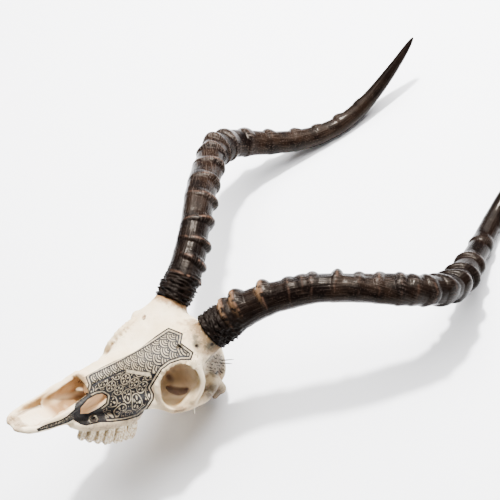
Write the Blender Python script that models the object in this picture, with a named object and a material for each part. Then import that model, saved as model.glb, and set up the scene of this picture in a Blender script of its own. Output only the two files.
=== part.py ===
"""Skull of an impala ram with both horns, standing on its occiput and the backs of its horns.

Every shape is worked out in the skull's own frame: X points to the animal's left, Y from the
nose back, Z up from the biting surface of the teeth, and the middle plane is X = 0.  The pieces
are then tipped back together, about X, until they stand on a table at Z = 0.
Lengths are in millimetres up to the point where a mesh is made, which is in metres.
"""
import math

import bmesh
import bpy
import numpy as np
from mathutils import Matrix, Vector

MM = 0.001                      # one millimetre in scene units
GAP = 0.3                       # play between a piece and what it sits in

# How the skull stands
PITCH = 43.2                    # degrees the nose is raised from the tooth plane
ORIGIN_BACK = -336.1            # where the skull frame's origin ends up
ORIGIN_UP = 166.75
TABLE_SIZE = (900, 200)         # width and depth of what is cut away below Z = 0

# The face and braincase, as sections across Y:
# (y, top, bottom, half width at the bottom, half width at the top)
BODY_SECTIONS = (
    (46, 38, 21, 16, 15),
    (62, 49, 20, 20, 15),
    (80, 60, 20, 25, 15),
    (102, 68, 20, 29, 17),
    (122, 73, 20, 34, 21),
    (138, 77, 25, 36, 29),
    (152, 86, 33, 33, 47),
    (166, 95, 40, 28, 59),
    (180, 101, 42, 26, 60),
    (196, 104, 40, 25, 52),
    (212, 101, 33, 27, 38),
    (228, 91, 24, 31, 30),
    (242, 77, 18, 32, 26),
    (251, 65, 20, 26, 22),
)
BODY_SQUARENESS = 2.6           # 2 is an ellipse, higher is squarer

BRAINCASE = ((0, 222, 56), (31, 31, 30))        # a ball's centre and half axes
OCCIPUT = ((0, 244, 44), (33, 9, 24))
SKULL_BASE = ((0, 150, 44, 9), (0, 200, 30, 11), (0, 246, 22, 12))

# Bars of bone on the left side, as stations of (x, y, z, radius)
PREMAXILLA = ((6, 5, 21, 4), (11, 11, 21.5, 5), (15, 24, 23, 4.6), (17.5, 42, 26, 4.6), (19, 56, 30, 5))
NOSE_SIDE = ((15, 28, 26, 3.5), (17, 46, 31, 3.5), (17.5, 58, 36, 4), (16.5, 72, 42, 4), (15, 84, 52, 4))
PALATE_INNER = ((3, 12, 20, 3.4), (4, 30, 20, 4), (5, 54, 20, 5))
PALATE_OUTER = ((9, 14, 19.5, 3.4), (11.5, 30, 20.5, 4), (14, 52, 21, 5))
TOOTH_ROW = ((20, 62, 22, 4.6), (22.5, 76, 19, 6.6), (26, 92, 19, 7.4), (28, 108, 19, 8),
             (28.8, 124, 20, 8), (26.5, 136, 24, 7), (16, 150, 34, 5), (12, 182, 32, 3.4))
CHEEK = ((25, 112, 36, 8), (31, 132, 38, 8.5), (40, 148, 41, 8), (50, 160, 37, 5))
BEHIND_EYE = ((46, 176, 84, 7), (54, 185, 66, 5), (56, 180, 48, 4.6))
ZYGOMATIC_ARCH = ((52, 156, 40, 5), (55, 174, 39, 4.6), (52, 200, 40, 4.2), (44, 217, 42, 5),
                  (34, 228, 44, 6))
HORN_PEDICLE = ((25, 186, 84, 19), (29, 197, 96, 18), (31, 204, 104, 17.4), (33, 207, 110, 17))
EAR_PROCESS = ((33, 226, 46, 7), (36, 240, 34, 6), (30, 245, 26, 6), (27, 247, 16, 3.2))
EAR_BULLA = ((21, 226, 16), (8, 13, 9))
CONDYLE = ((12, 252, 20), (8, 9, 11))
CONDYLE_LEAN = 20               # degrees about Y

# The hollow of the nose, as sections in the same terms
NOSE_SECTIONS = (
    (36, 40, 25, 10, 10),
    (50, 44, 25, 13, 11),
    (64, 50, 25, 16, 11),
    (80, 57, 25, 20, 12),
    (102, 64, 26, 23, 14),
    (120, 68, 30, 20, 16),
    (136, 66, 38, 10, 12),
)
NOSE_OPENING = (80, 49)         # where the slanting front edge meets the nasal bones: y, z
NOSE_OPENING_SLOPE = 25.8       # degrees
NOSE_OPENING_SIZE = (80, 66, 50)
SIDE_SLOT = ((21, 82, 41.5), (12, 15.5, 6))     # the gap beside the nasal bones
SIDE_SLOT_TILT = 22
BRAIN_HOLE = ((0, 285, 30), (0, 240, 42))
BRAIN_HOLE_RADIUS = 8.5

# The eye sockets
ORBIT = (50, 163.5, 61.5)
ORBIT_FORE_AFT = (6.5, 23.0, 2.0)
ORBIT_UP_DOWN = (-6.5, 2.0, 21.5)
ORBIT_RIM = 4.4
ORBIT_CUP = (37, 164, 62)
ORBIT_CUP_RADII = (23, 27, 26.5)
ORBIT_HOLLOW = (52, 161.5, 62)
ORBIT_HOLLOW_RADII = (34, 20.5, 21)
ORBIT_FACES_FORWARD = 14        # degrees about Z

# The horns' centre line, left side, from the mouth of the sheath to the tip
HORN_LINE = (
    (31, 204, 106), (46, 226, 140), (69, 250, 169), (97, 276, 188), (128, 306, 200),
    (157, 339, 209), (165, 379, 212), (151, 422, 217), (134, 462, 228), (120, 495, 250),
    (112, 521, 285), (107, 540, 325), (102, 555, 368),
)
HORN_LENGTH = 530
HORN_RADII = (
    (0, 18.2), (16, 17.4), (50, 16.2), (140, 15.2), (210, 14.6), (262, 13.2), (345, 11.3),
    (405, 9.6), (451, 7.6), (495, 5.0), (512, 3.6), (526, 1.9), (530, 0.9),
)
HORN_SIDES = 12
# Ring crests, as distances along the centre line, and how far each stands out in front
RING_CRESTS = (3, 9, 15, 26, 46, 68, 91, 115, 139, 160, 181, 201, 218, 235, 254, 278, 306,
               336, 367, 399)
RING_HEIGHTS = (1.4, 1.2, 1.6, 3.0, 4.0, 4.2, 4.0, 4.2, 4.2, 3.8, 3.8, 3.8, 3.6, 3.6, 4.2, 4.2,
                3.8, 3.4, 3.0, 2.0)
CROWDED_END = 20                # up to here the rings are thin and close together
RING_HALF_WIDTH = 3.4
THIN_RING_HALF_WIDTH = 1.1
RING_SLANT = 5.0                # how much further along the horn a ring is in front than behind
BEHIND_SHARE = 0.22             # a ring's height behind, as a share of its height in front
SMOOTH_STATIONS = (424, 450, 474, 495, 512, 524, HORN_LENGTH)
# The way the horn's ringed front faces, as (share of the length, direction)
FRONT_FACES = ((0.0, (-0.5, -0.1, 0.85)), (0.28, (-0.4, 0.0, 0.9)), (0.38, (0.3, -0.2, 0.8)),
               (0.46, (0.85, -0.2, 0.4)), (0.75, (0.8, 0.2, 0.3)), (1.0, (0.8, 0.2, 0.3)))
# How much the section is narrower across its front, as (distance, share)
FLATNESS = ((0, 0.0), (35, 0.08), (150, 0.08), (230, 0.0))

# The bone stub in each sheath's mouth
STUB_LENGTH = 24
STUB_RADII = (14.0, 12.4)
STUB_OVERLAP = 3                # how far it starts inside the skull
SEAT_RADIUS = 26
SEAT_DEPTH = 40

# Upper cheek teeth, left side: name, centre x, centre y, length, width, biting height
TEETH = (
    ("premolar_2", 23.0, 75.0, 7.4, 6.6, 3.0),
    ("premolar_3", 25.6, 83.4, 8.2, 8.4, 1.0),
    ("premolar_4", 27.8, 91.9, 7.8, 9.8, -1.0),
    ("molar_1", 29.6, 102.0, 11.2, 11.4, -2.5),
    ("molar_2", 30.8, 114.6, 12.8, 12.4, -3.0),
    ("molar_3", 30.6, 128.4, 13.6, 11.6, -3.0),
)
GUM_HEIGHT = 12.5               # lower edge of the jaw bone round the teeth
ROOT_DEPTH = 7.0
TOOTH_SIDES = 10
TOOTH_SQUARENESS = 3.2
CUSP_HEIGHT = 1.3

VOXEL = 2.1
SKULL_KEEP = 0.066              # share of the skull's faces that the final thinning keeps

BONE = (0.80, 0.74, 0.62)
HORN = (0.035, 0.026, 0.022)
ENAMEL = (0.78, 0.70, 0.52)


def clear_scene():
    for item in list(bpy.data.objects):
        bpy.data.objects.remove(item, do_unlink=True)


def make_material(name, colour, roughness):
    material = bpy.data.materials.new(name)
    material.use_nodes = True
    shader = material.node_tree.nodes["Principled BSDF"]
    shader.inputs["Base Color"].default_value = (*colour, 1.0)
    shader.inputs["Roughness"].default_value = roughness
    shader.inputs["Metallic"].default_value = 0.0
    material.diffuse_color = (*colour, 1.0)
    return material


def new_object(name, bm, parent, material=None):
    """Turn a mesh worked out in millimetres into an object in metres."""
    bmesh.ops.scale(bm, vec=(MM, MM, MM), verts=bm.verts)
    bmesh.ops.recalc_face_normals(bm, faces=bm.faces)
    mesh = bpy.data.meshes.new(name)
    bm.to_mesh(mesh)
    bm.free()
    item = bpy.data.objects.new(name, mesh)
    bpy.context.scene.collection.objects.link(item)
    item.parent = parent
    if material:
        mesh.materials.append(material)
    return item


def make_cutter(name, bm, parent):
    item = new_object(name, bm, parent)
    item.hide_render = True
    item.display_type = "WIRE"
    return item


def mirrored(point, side):
    return Vector((point[0] * side, point[1], point[2]))


def curve_through(knots, values, at):
    """Natural cubic spline through values at knots, read at the given places."""
    knots = np.asarray(knots, float)
    values = np.asarray(values, float)
    step = np.diff(knots)
    slope = np.diff(values, axis=0) / step[:, None]
    size = len(knots)
    system = np.eye(size)
    right = np.zeros_like(values)
    for i in range(1, size - 1):
        system[i, i - 1:i + 2] = step[i - 1], 2 * (step[i - 1] + step[i]), step[i]
        right[i] = 6 * (slope[i] - slope[i - 1])
    bend = np.linalg.solve(system, right)
    at = np.clip(at, knots[0], knots[-1])
    i = np.clip(np.searchsorted(knots, at) - 1, 0, size - 2)
    a = ((knots[i + 1] - at) / step[i])[:, None]
    b = 1 - a
    return (a * values[i] + b * values[i + 1]
            + ((a**3 - a) * bend[i] + (b**3 - b) * bend[i + 1]) * (step[i]**2)[:, None] / 6)


def unit(rows):
    return rows / np.linalg.norm(rows, axis=-1, keepdims=True)


def bridge(bm, rings):
    """Join rings of vertices one after another and close both ends."""
    for low, high in zip(rings[:-1], rings[1:]):
        for i in range(len(low)):
            j = (i + 1) % len(low)
            bm.faces.new((low[i], low[j], high[j], high[i]))
    bm.faces.new(reversed(rings[0]))
    bm.faces.new(rings[-1])


def add_ball(bm, centre, radii, side=1, turn=None):
    place = Matrix.Translation(mirrored(centre, side))
    if turn:
        angle, axis = turn
        place = place @ Matrix.Rotation(math.radians(angle * (side if axis != "X" else 1)), 4, axis)
    place = place @ Matrix.Diagonal((*radii, 1))
    bmesh.ops.create_icosphere(bm, subdivisions=3, radius=1, matrix=place)


def add_cone(bm, low, high, low_radius, high_radius, sides=20):
    low, high = Vector(low), Vector(high)
    turn = (high - low).to_track_quat("Z", "Y").to_matrix().to_4x4()
    bmesh.ops.create_cone(bm, cap_ends=True, segments=sides, radius1=low_radius,
                          radius2=high_radius, depth=(high - low).length,
                          matrix=Matrix.Translation((low + high) / 2) @ turn)


def add_bar(bm, stations, side=1):
    """A bar with round joints through stations of (x, y, z, radius)."""
    for x, y, z, radius in stations:
        add_ball(bm, (x, y, z), (radius, radius, radius), side)
    for low, high in zip(stations[:-1], stations[1:]):
        add_cone(bm, mirrored(low[:3], side), mirrored(high[:3], side), low[3], high[3])


def add_hoop(bm, centre, first, second, thickness, side, sides=36, tube_sides=10):
    """A ring of round section on the ellipse with the two half axes."""
    centre, first, second = (mirrored(v, side) for v in (centre, first, second))
    normal = first.cross(second).normalized()
    rings = []
    for i in range(sides):
        angle = 2 * math.pi * i / sides
        out = first * math.cos(angle) + second * math.sin(angle)
        ahead = second * math.cos(angle) - first * math.sin(angle)
        across = ahead.cross(normal).normalized()
        ring = []
        for k in range(tube_sides):
            t = 2 * math.pi * k / tube_sides
            offset = across * math.cos(t) + normal * math.sin(t)
            ring.append(bm.verts.new(centre + out + thickness * offset))
        rings.append(ring)
    for i in range(sides):
        low, high = rings[i], rings[(i + 1) % sides]
        for k in range(tube_sides):
            m = (k + 1) % tube_sides
            bm.faces.new((low[k], low[m], high[m], high[k]))


def add_loft(bm, sections, steps=40, points=36):
    """A closed body through sections across Y: superellipses that lean out towards the bottom."""
    table = np.array(sections, float)
    ys = np.linspace(table[0, 0], table[-1, 0], steps)
    sizes = curve_through(table[:, 0], table[:, 1:], ys)
    angles = 2 * np.pi * np.arange(points) / points
    c, s = np.cos(angles), np.sin(angles)
    reach = (np.abs(c)**BODY_SQUARENESS + np.abs(s)**BODY_SQUARENESS)**(-1 / BODY_SQUARENESS)
    rings = []
    for y, (top, bottom, low, high) in zip(ys, sizes):
        up = s * reach
        across = ((low + high) / 2 + (high - low) / 2 * up) * c * reach
        height = (top + bottom) / 2 + (top - bottom) / 2 * up
        rings.append([bm.verts.new((across[k], y, height[k])) for k in range(points)])
    bridge(bm, rings)


def horn_axis():
    """The straight line of the horn at its mouth, as a point and a direction."""
    line = curve_through(range(len(HORN_LINE)), HORN_LINE, np.array([0.0, 0.05]))
    return Vector(line[0]), Vector(unit(line[1] - line[0]))


def along_horn(distances):
    """Points of the centre line at distances from the mouth, with tangent and front direction."""
    share = np.linspace(0, len(HORN_LINE) - 1, 1200)
    line = curve_through(range(len(HORN_LINE)), HORN_LINE, share)
    run = np.concatenate(([0], np.cumsum(np.linalg.norm(np.diff(line, axis=0), axis=1))))
    run *= HORN_LENGTH / run[-1]
    points = np.stack([np.interp(distances, run, line[:, k]) for k in range(3)], axis=1)
    tangent = unit(np.gradient(line, axis=0))
    tangent = unit(np.stack([np.interp(distances, run, tangent[:, k]) for k in range(3)], axis=1))
    shares, faces = zip(*FRONT_FACES)
    front = np.stack([np.interp(distances / HORN_LENGTH, shares, [f[k] for f in faces])
                      for k in range(3)], axis=1)
    front = unit(front - tangent * np.sum(front * tangent, axis=1, keepdims=True))
    return points, tangent, front


def horn_stations():
    """Distances along the horn where a ring of the mesh lies: at each crest and beside it."""
    places = [0.0]
    for crest in RING_CRESTS:
        width = THIN_RING_HALF_WIDTH if crest < CROWDED_END else RING_HALF_WIDTH
        beside = (-0.6, 0.6) if crest < CROWDED_END else (-1.6, -0.6, 0.6, 1.6)
        places += [crest + width * share for share in beside]
    kept = [places[0]]
    for place in sorted(places[1:]) + list(SMOOTH_STATIONS):
        if place - kept[-1] > 1.0:
            kept.append(place)
    return np.array(kept)


def add_horn(bm, side):
    """A tapering tube along the centre line, with slanting rings that are highest in front."""
    stations = horn_stations()
    points, tangent, front = along_horn(stations)
    across = np.cross(tangent, front)
    angles = 2 * np.pi * np.arange(HORN_SIDES) / HORN_SIDES
    facing = 0.5 + 0.5 * np.cos(angles)
    slant = RING_SLANT * np.clip(stations / (2 * CROWDED_END), 0, 1)
    place = stations[:, None] - slant[:, None] * (facing - 0.5)
    flatness = np.interp(stations, *zip(*FLATNESS))[:, None]
    radius = np.interp(stations, *zip(*HORN_RADII))[:, None] * (1 - flatness * np.cos(2 * angles))
    for crest, height in zip(RING_CRESTS, RING_HEIGHTS):
        width = THIN_RING_HALF_WIDTH if crest < CROWDED_END else RING_HALF_WIDTH
        bump = np.exp(-((place - crest) / width)**2)
        radius += height * bump * (BEHIND_SHARE + (1 - BEHIND_SHARE) * facing**1.4)
    out = (front[:, None, :] * np.cos(angles)[None, :, None]
           + across[:, None, :] * np.sin(angles)[None, :, None])
    surface = points[:, None, :] + out * radius[:, :, None]
    surface[..., 0] *= side
    rings = [[bm.verts.new(p) for p in ring] for ring in surface]
    bridge(bm, rings)


def add_stub(bm, side, grow=0.0):
    """The cone that fills a sheath's mouth; grown by the play, it is the hollow for it."""
    start, direction = horn_axis()
    low = start - direction * STUB_OVERLAP
    high = start + direction * (STUB_LENGTH + grow)
    add_cone(bm, mirrored(low, side), mirrored(high, side), STUB_RADII[0] + grow,
             STUB_RADII[1] + grow, sides=24)


def tooth_outline(length, width, grow=0.0):
    """Points round a tooth seen from below: a rounded box, pinched in the middle of its sides."""
    points = []
    for k in range(TOOTH_SIDES):
        angle = 2 * math.pi * k / TOOTH_SIDES
        c, s = math.cos(angle), math.sin(angle)
        reach = (abs(c)**TOOTH_SQUARENESS + abs(s)**TOOTH_SQUARENESS)**(-1 / TOOTH_SQUARENESS)
        pinch = 1 - 0.12 * math.exp(-(c / 0.25)**2)
        points.append(((width / 2 + grow) * s * reach * pinch, (length / 2 + grow) * c * reach))
    return points


def add_tooth(bm, tooth, side):
    """Root, neck, crown and two cusps, from the socket down to the biting edge."""
    _, x, y, length, width, bite = tooth
    levels = ((GUM_HEIGHT + ROOT_DEPTH, 0.80, 0.0), (GUM_HEIGHT - 1, 0.94, 0.0),
              (bite + 2.2, 1.0, 0.0), (bite, 0.62, CUSP_HEIGHT))
    rings = []
    for height, share, wave in levels:
        ring = []
        for k, (across, along) in enumerate(tooth_outline(length, width)):
            cusp = wave * math.cos(2 * math.pi * along / length * 2)
            ring.append(bm.verts.new(((x + across * share) * side, y + along * share, height + cusp)))
        rings.append(ring)
    bridge(bm, rings)


def add_socket(bm, tooth, side):
    _, x, y, length, width, _ = tooth
    rings = []
    for height in (GUM_HEIGHT - 8, GUM_HEIGHT + ROOT_DEPTH + GAP):
        rings.append([bm.verts.new(((x + across) * side, y + along, height))
                      for across, along in tooth_outline(length, width, GAP)])
    bridge(bm, rings)


def build_bone_forms():
    """All the bones as overlapping closed bodies, ready to be fused."""
    bm = bmesh.new()
    add_loft(bm, BODY_SECTIONS)
    add_ball(bm, *BRAINCASE)
    add_ball(bm, *OCCIPUT)
    add_bar(bm, SKULL_BASE)
    for side in (1, -1):
        for bar in (PREMAXILLA, NOSE_SIDE, PALATE_INNER, PALATE_OUTER, TOOTH_ROW, CHEEK,
                    BEHIND_EYE, ZYGOMATIC_ARCH, HORN_PEDICLE, EAR_PROCESS):
            add_bar(bm, bar, side)
        add_ball(bm, ORBIT_CUP, ORBIT_CUP_RADII, side)
        add_hoop(bm, ORBIT, ORBIT_FORE_AFT, ORBIT_UP_DOWN, ORBIT_RIM, side)
        add_ball(bm, *EAR_BULLA, side)
        add_ball(bm, *CONDYLE, side, turn=(CONDYLE_LEAN, "Y"))
    return bm


def nose_opening():
    """A box whose lower face is the slanting front edge of the nose."""
    y, z = NOSE_OPENING
    _, depth, height = NOSE_OPENING_SIZE
    bm = bmesh.new()
    place = (Matrix.Translation((0, y, z)) @ Matrix.Rotation(math.radians(NOSE_OPENING_SLOPE), 4, "X")
             @ Matrix.Translation((0, -depth / 2, height / 2)) @ Matrix.Diagonal((*NOSE_OPENING_SIZE, 1)))
    bmesh.ops.create_cube(bm, size=1, matrix=place)
    return bm


def build_hollows(parent):
    """The bodies that open the eye sockets, the nose, the side slots and the braincase."""
    cutters = []
    for side, word in ((1, "left"), (-1, "right")):
        bm = bmesh.new()
        add_ball(bm, ORBIT_HOLLOW, ORBIT_HOLLOW_RADII, side, turn=(-ORBIT_FACES_FORWARD, "Z"))
        cutters.append(make_cutter(f"orbit_hollow_{word}", bm, parent))
        bm = bmesh.new()
        add_ball(bm, *SIDE_SLOT, side, turn=(SIDE_SLOT_TILT, "X"))
        cutters.append(make_cutter(f"side_slot_{word}", bm, parent))
    bm = bmesh.new()
    add_loft(bm, NOSE_SECTIONS, steps=14, points=20)
    cutters.append(make_cutter("nose_hollow", bm, parent))
    cutters.append(make_cutter("nose_opening", nose_opening(), parent))
    bm = bmesh.new()
    add_cone(bm, *BRAIN_HOLE, BRAIN_HOLE_RADIUS, BRAIN_HOLE_RADIUS)
    cutters.append(make_cutter("brain_hole", bm, parent))
    return cutters


def cut_with(item, cutter, operation="DIFFERENCE"):
    step = item.modifiers.new(cutter.name, "BOOLEAN")
    step.object = cutter
    step.operation = operation
    step.solver = "EXACT"


def fuse(item, voxel, smoothing):
    step = item.modifiers.new("fuse", "REMESH")
    step.mode = "VOXEL"
    step.voxel_size = voxel * MM
    soft = item.modifiers.new("soften", "SMOOTH")
    soft.factor = 0.5
    soft.iterations = smoothing


def build_skull(parent, material, table):
    skull = new_object("skull", build_bone_forms(), parent, material)
    fuse(skull, VOXEL, 3)
    for cutter in build_hollows(parent):
        cut_with(skull, cutter)
    fuse(skull, VOXEL, 2)
    thin = skull.modifiers.new("thin", "DECIMATE")
    thin.ratio = SKULL_KEEP
    sockets = bmesh.new()
    for side in (1, -1):
        for tooth in TEETH:
            add_socket(sockets, tooth, side)
    cut_with(skull, make_cutter("tooth_sockets", sockets, parent))
    for side, word in ((1, "left"), (-1, "right")):
        start, direction = horn_axis()
        seat = bmesh.new()
        low, high = start - direction * GAP, start + direction * SEAT_DEPTH
        add_cone(seat, mirrored(low, side), mirrored(high, side), SEAT_RADIUS, SEAT_RADIUS)
        cut_with(skull, make_cutter(f"horn_seat_{word}", seat, parent))
        stub = bmesh.new()
        add_stub(stub, side)
        cut_with(skull, make_cutter(f"horn_stub_{word}", stub, parent), "UNION")
    cut_with(skull, table)
    return skull


def build_horn(side, word, parent, material, table):
    bm = bmesh.new()
    add_horn(bm, side)
    horn = new_object(f"horn_sheath_{word}", bm, parent, material)
    hollow = bmesh.new()
    add_stub(hollow, side, GAP)
    cut_with(horn, make_cutter(f"sheath_mouth_{word}", hollow, parent))
    cut_with(horn, table)
    return horn


def build_tooth(tooth, side, word, parent, material):
    bm = bmesh.new()
    add_tooth(bm, tooth, side)
    return new_object(f"{tooth[0]}_{word}", bm, parent, material)


def build_table():
    """Everything below the table top is cut away, which leaves the worn spots it stands on."""
    bm = bmesh.new()
    width, depth = TABLE_SIZE
    place = Matrix.Translation((0, 0, -depth / 2)) @ Matrix.Diagonal((width, width, depth, 1))
    bmesh.ops.create_cube(bm, size=1, matrix=place)
    return make_cutter("table", bm, None)


def build():
    clear_scene()
    stand = bpy.data.objects.new("stand", None)
    bpy.context.scene.collection.objects.link(stand)
    stand.rotation_euler = (math.radians(-PITCH), 0, 0)
    stand.location = (0, ORIGIN_BACK * MM, ORIGIN_UP * MM)
    bone = make_material("bone", BONE, 0.6)
    horn = make_material("horn", HORN, 0.35)
    enamel = make_material("enamel", ENAMEL, 0.4)
    table = build_table()
    build_skull(stand, bone, table)
    for side, word in ((1, "left"), (-1, "right")):
        build_horn(side, word, stand, horn, table)
        for tooth in TEETH:
            build_tooth(tooth, side, word, stand, enamel)


build()
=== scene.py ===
"""Skull of an impala ram with both horns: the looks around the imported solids.

Each piece is worked out in millimetres in the skull's own frame: X points to the animal's left,
Y from the nose back, Z up from the biting surface of the teeth, and the middle plane is X = 0.
stood() then tips it back and sets it where the solids stand, in metres.
"""

import math

import bpy
import numpy as np
from mathutils import Matrix, Vector


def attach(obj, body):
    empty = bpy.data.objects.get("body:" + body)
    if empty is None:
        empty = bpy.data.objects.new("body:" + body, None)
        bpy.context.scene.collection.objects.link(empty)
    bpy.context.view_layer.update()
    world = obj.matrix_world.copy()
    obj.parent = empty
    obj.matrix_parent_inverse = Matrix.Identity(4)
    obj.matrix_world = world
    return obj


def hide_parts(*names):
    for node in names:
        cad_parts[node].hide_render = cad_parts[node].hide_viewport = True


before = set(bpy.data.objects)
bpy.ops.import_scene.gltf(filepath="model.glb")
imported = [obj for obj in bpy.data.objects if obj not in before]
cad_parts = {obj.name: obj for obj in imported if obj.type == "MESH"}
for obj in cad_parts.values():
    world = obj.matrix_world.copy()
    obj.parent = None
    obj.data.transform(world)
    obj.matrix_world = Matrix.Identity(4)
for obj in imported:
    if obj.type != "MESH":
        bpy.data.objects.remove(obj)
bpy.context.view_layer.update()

# ---------------------------------------------------------------------------------------------
# The skull: one piece of bone, grown together from the premaxillae at the nose to the condyles,
# bleached and left a little stained.  It is modelled as a block of space that holds the distance
# to the bone's surface: forms are added and hollows carved with soft edges, then it is meshed.

PITCH = math.radians(43.2)      # how far the nose is raised from the plane of the teeth
ORIGIN_BACK = -336.1            # where the skull frame's origin ends up, mm
ORIGIN_UP = 166.75


def stood(points):
    """Points in mm turned about X by the pitch, moved to where the skull stands, in metres."""
    x, y, z = np.moveaxis(np.asarray(points, float), -1, 0)
    back = y * math.cos(PITCH) + z * math.sin(PITCH) + ORIGIN_BACK
    up = z * math.cos(PITCH) - y * math.sin(PITCH) + ORIGIN_UP
    return np.stack([x, back, up], axis=-1) / 1000


def spline(knots, values, at):
    """Natural cubic spline through the values at the knots, read at the given places."""
    knots = np.asarray(knots, float)
    values = np.asarray(values, float)
    values = values.reshape(len(knots), -1)
    step = np.diff(knots)
    slope = np.diff(values, axis=0) / step[:, None]
    size = len(knots)
    system = np.eye(size)
    right = np.zeros_like(values)
    for i in range(1, size - 1):
        system[i, i - 1:i + 2] = step[i - 1], 2 * (step[i - 1] + step[i]), step[i]
        right[i] = 6 * (slope[i] - slope[i - 1])
    bend = np.linalg.solve(system, right)
    at = np.clip(np.asarray(at, float), knots[0], knots[-1])
    i = np.clip(np.searchsorted(knots, at) - 1, 0, size - 2)
    a = ((knots[i + 1] - at) / step[i])[:, None]
    b = 1 - a
    return (a * values[i] + b * values[i + 1]
            + ((a**3 - a) * bend[i] + (b**3 - b) * bend[i + 1]) * (step[i]**2)[:, None] / 6)


def unit(rows):
    return rows / np.linalg.norm(rows, axis=-1, keepdims=True)


def soft_min(a, b, width):
    """The smaller of two distances, rounded over the given width where they meet."""
    share = np.clip(0.5 + 0.5 * (b - a) / width, 0, 1)
    return b + (a - b) * share - width * share * (1 - share)


def waves(x, y, z, size, seed):
    """Smooth noise of about unit height: a sum of sine waves in seeded random directions."""
    rng = np.random.default_rng(seed)
    count, total = 14, 0
    for _ in range(count):
        way = unit(rng.normal(size=3)) * rng.uniform(0.6, 1.6) * 2 * np.pi / size
        total = total + np.sin(way[0] * x + way[1] * y + way[2] * z + rng.uniform(0, 2 * np.pi))
    return total / np.sqrt(count / 2)


class Ball:
    """An ellipsoid: distance from how far out a point is, in half axes, over its gradient."""

    def __init__(self, centre, half_axes, turn=0.0, axis="Z"):
        self.centre = np.array(centre, float)
        self.half = np.array(half_axes, float)
        self.turn = np.array(Matrix.Rotation(math.radians(turn), 3, axis).transposed())
        reach = np.abs(self.turn.T) @ self.half
        self.low, self.high = self.centre - reach, self.centre + reach

    def distance(self, x, y, z):
        offset = (x - self.centre[0], y - self.centre[1], z - self.centre[2])
        q = [sum(self.turn[i, k] * offset[k] for k in range(3)) for i in range(3)]
        out = np.sqrt(sum((q[i] / self.half[i])**2 for i in range(3)))
        steep = np.sqrt(sum((q[i] / self.half[i]**2)**2 for i in range(3))) + 1e-9
        return out * (out - 1) / steep


class Bar:
    """A round bar of changing radius along a smooth line through stations (x, y, z, radius)."""

    def __init__(self, stations):
        stations = np.array(stations, float)
        count = len(stations)
        if count > 2:
            stations = spline(range(count), stations, np.linspace(0, count - 1, (count - 1) * 3 + 1))
        self.stations = stations
        self.low = (stations[:, :3] - stations[:, 3:]).min(axis=0)
        self.high = (stations[:, :3] + stations[:, 3:]).max(axis=0)

    def distance(self, x, y, z):
        nearest = None
        for a, b in zip(self.stations[:-1], self.stations[1:]):
            run = b[:3] - a[:3]
            q = (x - a[0], y - a[1], z - a[2])
            share = np.clip(sum(q[i] * run[i] for i in range(3)) / (run @ run), 0, 1)
            away = np.sqrt(sum((q[i] - share * run[i])**2 for i in range(3)))
            away = away - (a[3] + (b[3] - a[3]) * share)
            nearest = away if nearest is None else np.minimum(nearest, away)
        return nearest


class Hoop:
    """A bar bent round an ellipse: distance in its plane joined with the height off the plane."""

    def __init__(self, centre, first, second, radius):
        self.centre, self.first, self.second = (np.array(v, float) for v in (centre, first, second))
        self.normal = unit(np.cross(self.first, self.second))
        self.radius = radius
        reach = np.abs(self.first) + np.abs(self.second) + radius
        self.low, self.high = self.centre - reach, self.centre + reach

    def distance(self, x, y, z):
        q = (x - self.centre[0], y - self.centre[1], z - self.centre[2])
        long_square, short_square = self.first @ self.first, self.second @ self.second
        u = sum(q[i] * self.first[i] for i in range(3)) / long_square
        v = sum(q[i] * self.second[i] for i in range(3)) / short_square
        off = sum(q[i] * self.normal[i] for i in range(3))
        out = np.sqrt(u * u + v * v) + 1e-6
        mean = np.sqrt(u * u * long_square + v * v * short_square) / out
        return np.sqrt(((out - 1) * mean)**2 + off**2) - self.radius


class Sections:
    """A body through superellipse sections (y, top, bottom, half width low, half width high)."""

    def __init__(self, sections, squareness, round_ends):
        self.table = np.array(sections, float)
        self.squareness = squareness
        self.round_ends = round_ends
        half = self.table[:, 3:].max()
        self.low = np.array([-half, self.table[0, 0], self.table[:, 2].min()]) - 2
        self.high = np.array([half, self.table[-1, 0], self.table[:, 1].max()]) + 2

    def distance(self, x, y, z):
        sizes = spline(self.table[:, 0], self.table[:, 1:], y.ravel())
        top, bottom, low, high = (sizes[:, k].reshape(y.shape) for k in range(4))
        middle, half_height = (top + bottom) / 2, (top - bottom) / 2
        up = np.clip((z - middle) / half_height, -1.2, 1.2)
        half_width = (low + high) / 2 + (high - low) / 2 * up
        away = np.sqrt(x**2 + (z - middle)**2) + 1e-6
        p = self.squareness
        edge = ((np.abs(x) / away / half_width)**p
                + (np.abs(z - middle) / away / half_height)**p)**(-1 / p)
        ends = np.maximum(self.table[0, 0] - y, y - self.table[-1, 0])
        return -soft_min(edge - away, -ends + 0 * away, self.round_ends)


class Wedge:
    """What lies beyond every one of some planes (point, way), kept within a box."""

    def __init__(self, planes, low, high):
        self.planes = [(np.array(point, float), unit(np.array(way, float))) for point, way in planes]
        self.low, self.high = np.array(low, float), np.array(high, float)

    def distance(self, x, y, z):
        far = [-((x - p[0]) * n[0] + (y - p[1]) * n[1] + (z - p[2]) * n[2]) for p, n in self.planes]
        return np.maximum.reduce(np.broadcast_arrays(*far))


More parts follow.
